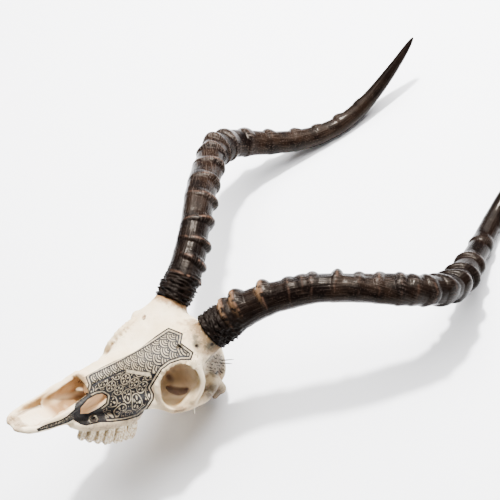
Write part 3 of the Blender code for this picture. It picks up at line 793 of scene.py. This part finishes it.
def paint_bone():
    """Cream bone, browned in the nose and the sockets, stained here and there, with painted shade and grime
    in the hollows, painted shade on the low parts, by the ear, under the eye socket's rim and in the holes, a
    painted light patch high in the eye socket, and a grey wash and the black ink laid over it."""
    material, start, place = new_paint("bleached_bone", Specular_IOR_Level=0.12, Subsurface_Weight=0.05,
                                       Subsurface_Scale=0.0015)
    mark = start.attribute
    broad, fine = start.noise(place, 38.0, 3.0), start.noise(place, 3.2, 4.0)
    pits = start.node("ShaderNodeTexVoronoi", {}, {"Vector": place, "Scale": 0.42}, "Distance")
    pitted = (1 - pits.rise(0.14, 0.30)) * mark("brow").rise(0.1, 0.5) * fine.rise(0.35, 0.5)
    thin_bone = broad.rise(0.3, 0.7).mix(colour(0.60, 0.42, 0.25), colour(0.68, 0.52, 0.34))
    gold = broad.rise(0.3, 0.7).mix(colour(0.27, 0.155, 0.06), colour(0.42, 0.27, 0.13))
    flecks = (mark("frayed") * 1.3 - start.noise(place, 1.6, 3.0)).rise(0.70, 0.86)
    edging = mark("rim") * (0.42 + 0.45 * start.noise(place, 7.0, 3.0).rise(0.40, 0.62))
    shaded = (mark("shaded_hole") * 1.3 - start.noise(place, 5.0, 3.0) * 0.3).rise(0.0, 1.0)
    blotch = (mark("amber") * 1.5 - start.noise(place, 4.5, 4.0) * 0.9).rise(0.0, 0.55)
    # Stains, and painted shade under the eye socket's rim
    stain_and_shade = (mark("stain_and_shade") * 1.3 - start.noise(place, 6.0, 4.0)).rise(0.0, 0.4)
    dots = (mark("stain_and_shade") * 1.4 - start.noise(place, 2.2, 3.0)).rise(0.40, 0.60)
    # Painted shade, with some dirt, over the cheek arch and the ear region
    ear_shade_and_dirt = mark("ear_shade_and_dirt").rise(0.1, 0.8) * (0.75 + 0.22 * fine.rise(0.35, 0.6))
    temple = mark("temple").rise(0.15, 0.6) * (0.72 + 0.26 * fine.rise(0.40, 0.6))
    grey_smudge_and_shade = (mark("smudge_and_shade") * 1.5 - start.noise(place, 4.0, 4.0) * 1.1).rise(0.0, 0.8)
    # Painted shade, with some dirt, on the low parts of the face and behind the eye
    low = mark("low").least(1.0) * (0.45 + 0.5 * fine.rise(0.4, 0.7))
    specks = start.noise(place, 2.0, 3.0).rise(0.62, 0.72) * broad.rise(0.40, 0.60)
    wash = mark("ink_edge").rise(0.0, 2.0) * (0.52 + 0.25 * fine.rise(0.35, 0.65))
    ink = ink_cover(start, place)
    layers = (                  # each laid over those above it: how much of it is there, its colour
        (fine.rise(0.5, 0.72) * 0.4, colour(0.50, 0.40, 0.27)),
        # painted shade and grime in the hollows
        (mark("hollow_shade_and_grime").rise(0.06, 0.6) * 0.8, colour(0.30, 0.21, 0.13)),
        (pitted * 0.85, colour(0.20, 0.12, 0.06)),
        (mark("tan") * 0.92, thin_bone),
        (mark("lit_tan") * 0.95, colour(0.62, 0.44, 0.25)),
        (mark("nose_floor") * 0.95, colour(0.20, 0.10, 0.036)),
        (mark("golden") * 0.9, gold),
        (mark("in_slot") * 0.85, colour(0.44, 0.23, 0.095)),
        (flecks * 0.8, colour(0.07, 0.035, 0.015)),
        (mark("socket").rise(0.0, 1.0) * 0.85, colour(0.44, 0.29, 0.16)),
        (edging, colour(0.32, 0.21, 0.095)),
        # painted light high in the eye socket, paler than the bone
        (mark("vault_painted_light") * 0.95, colour(0.95, 0.80, 0.62)),
        (mark("socket_floor") * 0.9, colour(0.16, 0.09, 0.028)),
        (shaded * 0.88, colour(0.17, 0.095, 0.065)),
        (blotch * 0.9, colour(0.17, 0.08, 0.025)),
        (stain_and_shade * 0.7, colour(0.17, 0.10, 0.045)),
        (dots * 0.6, colour(0.07, 0.045, 0.02)),
        (ear_shade_and_dirt, colour(0.075, 0.055, 0.04)),
        (temple, colour(0.045, 0.04, 0.035)),
        # dark smudges, and painted shade in the ear opening
        (grey_smudge_and_shade * 0.9, colour(0.065, 0.055, 0.035)),
        # painted shade, with some dirt, from the low mark
        (low, colour(0.22, 0.165, 0.11)),
        (specks * 0.7, colour(0.28, 0.20, 0.13)),
        (wash, colour(0.055, 0.052, 0.042)),
        (ink, colour(0.004, 0.0035, 0.004)),
        # painted shade, near black, inside the holes
        (mark("hole_shade").rise(0.3, 0.7) * 0.9, colour(0.02, 0.014, 0.01)),
    )
    base = broad.rise(0.35, 0.65).mix(colour(0.68, 0.56, 0.39), colour(0.55, 0.42, 0.25))
    for share, over in layers:
        base = share.mix(base, over)
    roughness = 0.52 + 0.2 * fine - 0.12 * ink
    grain = start.noise(place, 0.8, 3.0)
    finish_paint(material, base, roughness, grain * 0.3 + fine * 0.5 - pitted * 1.2, 0.35)
    return material


clay = small_marks(hollow_out(bone_clay()))
clay.both_sides()
bone_points, bone_faces = weathered(clay).surface()
skull = mesh_object("skull_bone", bone_points, bone_faces)
give(skull, bone_marks(bone_points, bone_faces))
skull.data.materials.append(paint_bone())
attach(skull, "root")
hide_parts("skull")

# ---------------------------------------------------------------------------------------------
# Dried scraps: two stiff strands of sinew that stick out behind the left eye socket and a thin
# sliver that hangs below the cheek arch.  Each has its root in the bone.

SCRAPS = (                      # name, (x, y, z, radius) along it
    ("sinew_upper", ((27.5, 237, 63.2, 0.8), (31, 241, 65, 0.75), (34, 244.6, 66.7, 0.6),
                     (36.5, 247, 68, 0.2))),
    ("sinew_lower", ((29, 237, 60.8, 0.8), (32.5, 240.8, 62, 0.75), (35, 244, 62.6, 0.6),
                     (36.5, 246, 62.8, 0.2))),
    ("bone_sliver", ((57, 181, 43.5, 0.9), (58.5, 181.3, 39.5, 0.8), (60, 181.5, 35.5, 1.0),
                     (61.3, 181.6, 31.8, 0.3))),
)
SCRAP_ROWS, SCRAP_SIDES = 24, 10


def thread_rows(stations):
    """Rings of points round a smooth line through stations (x, y, z, radius)."""
    line = spline(range(len(stations)), stations, np.linspace(0, len(stations) - 1, SCRAP_ROWS))
    way = unit(np.gradient(line[:, :3], axis=0))
    first = unit(np.cross(way, (0.3, 0.2, 0.93)))
    second = np.cross(way, first)
    angle = 2 * np.pi * np.arange(SCRAP_SIDES)[None, :, None] / SCRAP_SIDES
    flat = first[:, None] * np.cos(angle) + second[:, None] * np.sin(angle) * 0.6
    return line[:, None, :3] + flat * line[:, None, 3:]


def rounded_skin(rows):
    """Faces of a tube of rows of points, closed at both ends by a point, in one list."""
    count, columns = rows.shape[:2]
    points = np.concatenate([rows[0].mean(axis=0)[None], rows.reshape(-1, 3), rows[-1].mean(axis=0)[None]])
    index = 1 + np.arange(count * columns).reshape(count, columns)
    ahead = np.roll(index, -1, axis=1)
    quads = np.stack([index[:-1], ahead[:-1], ahead[1:], index[1:]], axis=-1).reshape(-1, 4)
    first = np.stack([np.zeros(columns, int), ahead[0], index[0]], axis=-1)
    last = np.stack([np.full(columns, len(points) - 1), index[-1], ahead[-1]], axis=-1)
    return points, quads.tolist() + first.tolist() + last.tolist()


def paint_scrap(name, dark, light):
    """Dry and dull, streaked between a dark and a light colour."""
    material, start, place = new_paint(name, Specular_IOR_Level=0.3)
    streaks = start.noise(place, 1.5, 3.0)
    base = streaks.rise(0.4, 0.6).mix(dark, light)
    finish_paint(material, base, 0.5 + 0.2 * streaks, streaks, 0.2)
    return material


dried_sinew = paint_scrap("dried_sinew", colour(0.012, 0.008, 0.006), colour(0.04, 0.028, 0.02))
bare_sliver = paint_scrap("bare_sliver", colour(0.42, 0.36, 0.24), colour(0.60, 0.54, 0.42))
for name, stations in SCRAPS:
    points, faces = rounded_skin(thread_rows(stations))
    scrap = mesh_object(name, points, faces)
    scrap.data.materials.append(dried_sinew if "sinew" in name else bare_sliver)
    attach(scrap, "root")

# ---------------------------------------------------------------------------------------------
# The two horn sheaths: hollow cones of horn (keratin) that grow over the bone cores and keep
# the rings of each year's growth.  Each is a tube carried along the horn's line, with slanting
# rolls that stand out in front, thin crowded ones at the mouth, and a plain tip.

HORN_RADII = (                  # (distance from the mouth, mean radius between the rings)
    (0, 18.2), (10, 18.2), (30, 17.8), (50, 17.0), (80, 15.7), (130, 15.6), (190, 15.4), (220, 16.2),
    (245, 16.2), (262, 15.6), (280, 14.5), (310, 13.4), (330, 12.7), (350, 12.1), (370, 11.3), (395, 10.7),
    (420, 9.9), (440, 8.9), (460, 7.9), (480, 6.8), (500, 5.3), (512, 4.3), (521, 3.2), (527, 1.9),
    (530, 0.9),
)
# Pairs of (distance, value): how much thinner from front to back, and how far the middle lies off
# the centre line to the front and across
HORN_FLATNESS = ((0, -0.05), (50, 0.0), (100, 0.05), (150, 0.09), (185, 0.12), (205, 0.0), (222, -0.09),
                 (262, -0.09), (285, -0.05), (320, 0.0))
SHIFT_FRONT = ((0, 0), (20, -0.6), (50, -2.2), (80, -3.0), (100, -2.3), (150, -1.8), (190, -2.0), (220, -3.2),
               (240, -2.2), (260, 0.2), (340, 0.2), (380, 0), (430, -1.2), (500, -0.8), (530, 0))
SHIFT_ACROSS = ((0, 0), (20, -1.5), (50, -1.4), (80, 0.9), (130, 2.2), (160, 1.3), (190, -0.6), (220, 0.5),
                (240, 1.8), (320, 2.0), (350, 1.1), (380, 0), (430, 1.0), (500, 0.6), (530, 0))
RINGS = {                       # by side: (distance from the mouth, height, how much further opposite)
    1: ((28, 4.2, -2), (42, 6.2, -2), (69, 5.8, -3), (93, 1.8, 0), (106, 1.2, 2), (116, 2.8, -2),
        (139, 4.5, -1), (160, 2.2, 2), (180, 2.7, -1), (201, 2.4, 0), (215, 1.6, -2), (230, 2.2, -3),
        (250, 3.0, -6), (270.5, 4.2, -8), (293, 4.6, -8), (321, 3.6, -6), (358, 2.0, -3), (392, 0.8, 0)),
    -1: ((27, 2.8, 2), (44, 4.2, 9), (66, 4.6, 3), (93, 5.0, -6), (121, 5.0, 0), (151, 4.6, -3),
         (181, 3.8, 2), (207, 3.8, 0), (227, 4.2, 0), (249, 4.0, 0), (277, 3.8, 0), (306, 3.2, 1),
         (340, 3.0, 0), (368, 2.8, 1), (399, 2.6, 0), (430, 1.6, 0)),
}
HORN_WEAR = {                   # by side: distances, and how scratched and pale the horn is there
    1: ((0, 40, 90, 190, 235, 290, 330, 400), (0.05, 0.1, 0.5, 0.6, 0.1, 0.05, 0.3, 0.1)),
    -1: ((0, 70, 130, 240, 330, 420, 500), (0.05, 0.2, 0.8, 1.0, 1.0, 0.5, 0.1)),
}
CROWDED_RINGS = ((2.5, 1.0), (7.5, 1.3), (12.5, 1.2), (17.5, 1.5), (22.5, 1.0))
KNOB_ANGLE = {                  # by side: where round the horn the rings stand out
    1: ((0, 8), (90, 4), (150, -25), (240, -5), (530, -5)),
    -1: ((0, -45), (170, -40), (240, -5), (530, -5)),
}
RING_BEHIND = {                 # by side: share of a ring's height that it keeps opposite its knob
    1: ((0, 0.05), (185, 0.10), (215, 0.45), (230, 0.8), (340, 0.9), (380, 0.4), (400, 0.15)),
    -1: ((0, 0.05), (185, 0.10), (215, 0.40), (262, 0.45), (285, 0.22), (400, 0.10)),
}
# Share of the length, and the way that the horn's front faces there
FRONT_FACES = ((0.0, (-0.5, -0.1, 0.85)), (0.28, (-0.4, 0.0, 0.9)), (0.38, (0.3, -0.2, 0.8)),
               (0.46, (0.85, -0.2, 0.4)), (0.75, (0.8, 0.2, 0.3)), (1.0, (0.8, 0.2, 0.3)))
HORN_ROWS, HORN_COLUMNS = 660, 120
PATTERN_RADIUS = 16             # of the round on which the ribs, lumps and threads are laid out
TABLE_CLEAR = 0.1               # the worn flat that a horn rests on stays this far above the table
OUTER_REACH, OUTER_SQUASH = 179.5, 0.5     # how far out the bends are worn, and by how much
UPRIGHT = np.array((0, -math.sin(PITCH), math.cos(PITCH)))


def read(table, at):
    """A value read from pairs of (distance, value)."""
    return np.interp(at, *zip(*table))


def along_horn(distances):
    """Points of the centre line at distances from the mouth, its direction and its front."""
    share = np.linspace(0, len(HORN_LINE) - 1, 2400)
    line = spline(range(len(HORN_LINE)), HORN_LINE, share)
    run = np.concatenate(([0], np.cumsum(np.linalg.norm(np.diff(line, axis=0), axis=1))))
    run *= HORN_LENGTH / run[-1]
    points = np.stack([np.interp(distances, run, line[:, k]) for k in range(3)], axis=1)
    way = unit(np.gradient(line, axis=0))
    way = unit(np.stack([np.interp(distances, run, way[:, k]) for k in range(3)], axis=1))
    shares, faces = zip(*FRONT_FACES)
    front = np.stack([np.interp(distances / HORN_LENGTH, shares, [f[k] for f in faces])
                      for k in range(3)], axis=1)
    return points, way, unit(front - way * np.sum(front * way, axis=1, keepdims=True))


def lip(offset, before, after, knob):
    """A ring's profile: steep and round towards the mouth; towards the tip round on the knob, and
    elsewhere a flare that eases in."""
    away = np.clip(np.abs(offset) / np.where(offset < 0, before, after), 0, 1)
    bulge, flare = (1 - away**2)**0.8, (1 - away)**1.4
    return np.where(offset < 0, bulge, bulge * knob**2 + flare * (1 - knob**2))


def horn_shape(side):
    """Radius, by distance along (rows) and angle round from the front (columns): the horn's
    taper, plus rings that stand out as knobs on one side and sink to a low lip round the rest,
    plus rough ledges at the mouth and fine lengthwise ribs.  Also returns how strongly each spot
    is a ring, the worn edge along its crest and the light face of its knob."""
    s = np.linspace(0, HORN_LENGTH, HORN_ROWS)[:, None]
    angle = 2 * np.pi * np.arange(HORN_COLUMNS)[None, :] / HORN_COLUMNS
    knob = (0.5 + 0.5 * np.cos(angle - np.radians(read(KNOB_ANGLE[side], s))))
    wobble = (0.8 * np.sin(2 * angle + 0.05 * s + side) + 0.5 * np.sin(3 * angle - 0.08 * s)
              + 0.35 * np.sin(7 * angle + 0.11 * s))
    radius = read(HORN_RADII, s) * (1 - read(HORN_FLATNESS, s) * np.cos(2 * angle))
    radius = radius + 0.25 * np.sin(5 * angle + 0.02 * s + side) * np.clip(1 - s / 480, 0, 1)
    rolls, edges, faces = 0 * radius, 0 * radius, 0 * radius
    rng = np.random.default_rng(20 + side)
    for crest, height, slant in RINGS[side]:
        place = crest + slant * (1 - knob) + wobble * 0.8 * (crest < 340)
        tilt = 2.2 * (np.cos(angle - rng.uniform(0, 6)) - 1) * (1 - knob)
        place = place + tilt * np.clip(1 - crest / 330, 0, 1)
        share = read(RING_BEHIND[side], crest)
        tall = height * (share + (1 - share) * knob**3)
        tall = tall * (1 + 0.14 * np.sin(3 * angle + rng.uniform(0, 6)))
        wide = max(height / 4.4, 1) * (1.35 if crest > 240 else 1)
        before, after = (3.0 + 2.2 * knob**2) * wide, (8.0 - 2.6 * knob**2) * wide
        rolls = np.maximum(rolls, tall * lip(s - place, before, after, knob))
        lit = (0.04 + 0.96 * knob**1.5) * np.clip(height / 3, 0, 1) * (0.6 if side > 0 and crest > 80 else 1)
        face = np.exp(-((s - place + 0.5 * before) / (0.45 * before))**2) * knob**4
        faces = np.maximum(faces, face * (height > 4) * (side > 0))
        edges = np.maximum(edges, np.exp(-((s - place - 0.3) / 1.0)**2) * lit)
    ledges = 0 * radius
    for crest, height in CROWDED_RINGS:
        place = crest + wobble * 0.7 + rng.uniform(-0.5, 0.5)
        ragged = 1 + 0.5 * np.sin(rng.integers(2, 5) * angle + rng.uniform(0, 6))
        ledges = np.maximum(ledges, height * ragged * lip(s - place, 1.3, 3.6, 0))
    x, y = PATTERN_RADIUS * np.cos(angle), PATTERN_RADIUS * np.sin(angle)
    base = np.exp(-(s / 30)**3)
    knots = base * 0.85 * waves(x, y, s * 2.5, 6, 30 + side)
    ribs = 0.12 * waves(x, y, s * 0.05, 2.4, 40 + side) * np.clip(1 - s / 400, 0, 1)
    lumps = 0.35 * waves(x, y, s * 0.8, 26, 50 + side) * np.clip(1 - s / 460, 0.1, 1)
    return s, angle, radius + np.maximum(rolls, ledges) + knots + ribs + lumps, rolls, edges, faces


def paint_horn():
    """Near-black horn with lengthwise threads, scratched and paler where it is worn, brown along
    the rings' crests and tan on the knobs near the left horn's mouth."""
    material, start, place = new_paint("dark_horn", Specular_IOR_Level=0.05,
                                       Specular_Tint=colour(1.0, 0.86, 0.72))
    along, rolls, edge = (start.attribute(name) for name in ("along", "roll", "edge"))
    round_x, round_y = start.attribute("round_x"), start.attribute("round_y")
    grain = start.node("ShaderNodeCombineXYZ", {}, {0: round_x, 1: round_y, 2: along * 0.05})
    threads, broad = start.noise(grain, 1.0, 3.0), start.noise(place, 20.0, 3.0)
    scuffs, chips = start.noise(place, 1.6, 3.0), start.noise(place, 6.0, 4.0)
    low, rough_end, wear = 1 - along.rise(60, 360), 1 - along.rise(22, 48), start.attribute("wear")
    browned = broad.rise(0.35, 0.65) * (0.2 + 0.8 * wear)
    base = browned.mix(colour(0.0022, 0.0013, 0.0011), colour(0.009, 0.0048, 0.003))
    pale = threads.rise(0.48, 0.70) * (0.1 + 0.7 * wear) * broad.rise(0.3, 0.5) * (1 - rough_end)
    base = pale.mix(base, colour(0.026, 0.018, 0.0135))
    scratched = rolls.rise(0.4, 1.8) * threads.rise(0.45, 0.60) * scuffs.rise(0.40, 0.55)
    scratched = scratched * (0.03 + 0.5 * wear) * (1 - rough_end)
    base = scratched.mix(base, colour(0.085, 0.068, 0.058))
    base = (scuffs.rise(0.58, 0.68) * 0.35 * wear).mix(base, colour(0.07, 0.05, 0.04))
    worn = edge * chips.rise(0.42, 0.60) * (0.12 + 0.6 * low) * along.rise(12, 24)
    base = worn.mix(base, colour(0.12, 0.066, 0.045))
    knobs = start.attribute("face") * chips.rise(0.36, 0.50) * (1 - along.rise(75, 110))
    base = knobs.mix(base, colour(0.17, 0.095, 0.048))
    roughness = 0.15 + 0.12 * threads.rise(0.3, 0.8) + 0.25 * rough_end + 0.05 * low
    height = threads * (0.7 - 0.6 * along.rise(330, 430)) + chips * 0.6 * low + scuffs * 0.3 * low
    finish_paint(material, base, roughness, height, 0.4)
    return material


def make_horn(side, word, material):
    """One sheath: the cup over the stub, then the outside from the mouth to the tip, in one skin.
    It is worn flat where it rests on the surface, and drawn in where it bends furthest out."""
    s, angle, radius, rolls, edges, lit_faces = horn_shape(side)
    points, way, front = along_horn(s[:, 0])
    across = np.cross(way, front)
    out = front[:, None] * np.cos(angle)[..., None] + across[:, None] * np.sin(angle)[..., None]
    middle = points + front * read(SHIFT_FRONT, s) + across * read(SHIFT_ACROSS, s)
    rows = middle[:, None] + out * radius[..., None]
    depths = np.linspace(STUB_LENGTH + GAP, 0, 14)
    inner = np.interp(depths, (0, STUB_LENGTH), (STUB_RADII[0] + GAP, STUB_RADII[1] + GAP))
    cup = HORN_MOUTH + depths[:, None, None] * HORN_WAY + out[0] * inner[:, None, None]
    rows = np.concatenate([cup, rows])
    rows[..., 0] *= side
    points, faces = rounded_skin(rows)
    if side < 0:
        faces = [face[::-1] for face in faces]
    height = stood(points)[:, 2] * 1000
    points = points + np.maximum(TABLE_CLEAR - height, 0)[:, None] * UPRIGHT
    reach = np.abs(points[:, 0]) - OUTER_REACH
    points[:, 0] -= np.sign(points[:, 0]) * np.maximum(reach, 0) * OUTER_SQUASH
    item = mesh_object("horn_" + word, points, faces)
    blank = np.zeros((len(depths), HORN_COLUMNS))
    wear = np.interp(s, *HORN_WEAR[side]) + 0 * angle
    marks = {"wear": wear, "roll": rolls, "edge": edges, "face": lit_faces, "along": s + 0 * angle,
             "round_x": PATTERN_RADIUS * np.cos(angle) + 0 * s,
             "round_y": PATTERN_RADIUS * np.sin(angle) + 0 * s}
    for name, values in marks.items():
        values = np.concatenate([blank, values]).ravel()
        marks[name] = np.concatenate([[0], values, values[-1:]])
    give(item, marks)
    item.data.materials.append(material)
    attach(item, "root")
    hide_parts("horn_sheath_" + word)


dark_horn = paint_horn()
for side, word in ((1, "left"), (-1, "right")):
    make_horn(side, word, dark_horn)

# ---------------------------------------------------------------------------------------------
# The upper cheek teeth: three premolars and three molars a side, enamel over dentine with
# upright ribs on the cheek side and two crescents on the biting face, worn and stained.

TEETH = (                       # name, x, y, length, width, height of the biting edge, ribbed lobes
    ("premolar_2", 23.0, 75.0, 7.4, 6.6, 3.0, 1),
    ("premolar_3", 25.6, 83.4, 8.2, 8.4, 1.0, 1),
    ("premolar_4", 27.8, 91.9, 7.8, 9.8, -1.0, 1),
    ("molar_1", 29.6, 102.0, 11.2, 11.4, -2.5, 2),
    ("molar_2", 30.8, 114.6, 12.8, 12.4, -3.0, 2),
    ("molar_3", 30.6, 128.4, 13.6, 11.6, -3.0, 2),
)
GUM_HEIGHT = 12.5               # lower edge of the jaw bone round the teeth
ROOT_DEPTH = 7.0
TOOTH_COLUMNS = 72


def tooth_rows(x, y, length, width, bite, lobes):
    """Rounded boxes from the root down to the biting edge, then inwards over the biting face.
    The cheek side has a rib at each end and between the lobes; the edge rises between lobes."""
    angle = 2 * np.pi * np.arange(TOOTH_COLUMNS)[None, :] / TOOTH_COLUMNS
    c, s = np.cos(angle), np.sin(angle)
    reach = (np.abs(c)**5 + np.abs(s)**5)**(-1 / 5)
    along, across = length / 2 * c * reach, width / 2 * s * reach
    top = GUM_HEIGHT + ROOT_DEPTH
    levels = (                  # height, share of the length, share of the width
        (top, .6, .5), (top - .6, .8, .7), (top - 3, .86, .8), (GUM_HEIGHT, .95, .9),
        (GUM_HEIGHT - 2, 1, .97), (GUM_HEIGHT - 5, 1.02, 1), (bite + 5, 1.03, 1), (bite + 3, 1.03, .97),
        (bite + 1.6, 1.02, .92), (bite + .6, 1, .86), (bite, .97, .78), (bite - .1, .92, .7),
        (bite + .5, .8, .55), (bite + 1.3, .6, .42), (bite + .9, .4, .28), (bite + .4, .16, .12),
    )
    level = np.array(levels)
    height, long_share, wide_share = level[:, :1], level[:, 1:2], level[:, 2:]
    phase = 2 * np.pi * along / length * lobes
    crown = np.clip((GUM_HEIGHT + 1 - height) / 4, 0, 1)
    outer = np.clip(s * 2.5, 0, 1)
    rib = crown * (1.0 * np.abs(np.cos(phase + np.pi * (lobes - 1)))**3 - 0.5) * outer
    waist = 1 - 0.08 * crown * np.exp(-(c / 0.2)**2) * (lobes - 1)
    fade = np.clip((bite + 3 - height) / 3, 0, 1)
    rise = 0.45 * np.cos(2 * phase) * fade * outer - 0.5 * np.cos(phase + np.pi * (lobes - 1)) * fade
    slope = -0.10 * across * fade
    return np.stack([x + across * wide_share * waist + rib, y + along * long_share + 0 * height,
                     height + rise + slope], axis=-1)


def paint_enamel():
    """Cream enamel with brown upright streaks and darker spots."""
    material, start, place = new_paint("stained_enamel", Specular_IOR_Level=0.5)
    stretched = place.moved("MULTIPLY", (1.0, 0.7, 0.35))
    streaks, spots = start.noise(stretched, 1.3, 3.0), start.noise(place, 4.0, 2.0)
    base = streaks.rise(0.40, 0.62).mix(colour(0.62, 0.53, 0.38), colour(0.38, 0.26, 0.12))
    base = (spots.rise(0.5, 0.7) * 0.7).mix(base, colour(0.22, 0.15, 0.08))
    finish_paint(material, base, 0.3 + 0.25 * streaks, streaks, 0.3)
    return material


stained_enamel = paint_enamel()
for tooth, *sizes in TEETH:
    for side, word in ((1, "left"), (-1, "right")):
        rows = tooth_rows(*sizes)
        rows[..., 0] *= side
        points, faces = rounded_skin(rows)
        if side < 0:
            faces = [face[::-1] for face in faces]
        crown = mesh_object(tooth + "_crown_" + word, points, faces)
        crown.data.materials.append(stained_enamel)
        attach(crown, "root")
        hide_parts(tooth + "_" + word)

# ---------------------------------------------------------------------------------------------
# The table, the lights and the camera.  The camera stands at the eye of the side view, where the
# photograph was taken from.

camera_data = bpy.data.cameras.new("camera")
camera_data.sensor_width = 36
camera_data.lens = 92.1
camera_data.clip_end = 20
camera = bpy.data.objects.new("camera", camera_data)
bpy.context.scene.collection.objects.link(camera)
bpy.context.scene.camera = camera
turned = np.eye(4)
turned[:3, :3] = np.transpose(EYE_WAYS) * (1, -1, -1)
stand = Matrix.Rotation(-PITCH, 4, "X")
camera.matrix_world = (Matrix.Translation((0, ORIGIN_BACK / 1000, ORIGIN_UP / 1000)) @ stand
                       @ Matrix.Translation(Vector(EYE_PLACE) / 1000)
                       @ Matrix(turned.tolist()))

floor_mesh = bpy.data.meshes.new("floor")
floor_mesh.from_pydata([(-4, -4, 0), (4, -4, 0), (4, 4, 0), (-4, 4, 0)], [], [(0, 1, 2, 3)])
floor = bpy.data.objects.new("floor", floor_mesh)
bpy.context.scene.collection.objects.link(floor)
table = new_paint("pale_table", Roughness=0.6, Specular_IOR_Level=0.2)[0]
table.node_tree.nodes["Principled BSDF"].inputs["Base Color"].default_value = colour(0.86, 0.86, 0.88)
floor_mesh.materials.append(table)

world = bpy.data.worlds.new("studio")
bpy.context.scene.world = world
world.use_nodes = True
world.node_tree.nodes["Background"].inputs["Color"].default_value = (1, 1, 1, 1)
world.node_tree.nodes["Background"].inputs["Strength"].default_value = 0.28


def softbox(name, place, aim, size, power):
    """A square area light, in metres, turned to its aim."""
    lamp = bpy.data.lights.new(name, "AREA")
    lamp.size = size
    lamp.energy = power
    item = bpy.data.objects.new(name, lamp)
    item.location = place
    item.rotation_euler = (Vector(place) - Vector(aim)).to_track_quat("Z", "Y").to_euler()
    bpy.context.scene.collection.objects.link(item)


softbox("key", (-0.35, 0.75, 1.7), (0, 0, 0.1), 2.2, 195)
softbox("spark", (-0.32, 0.70, 1.7), (0, 0, 0.1), 0.15, 150)
softbox("fill", (-1.2, -1.4, 1.2), (0, 0, 0.1), 1.2, 7)
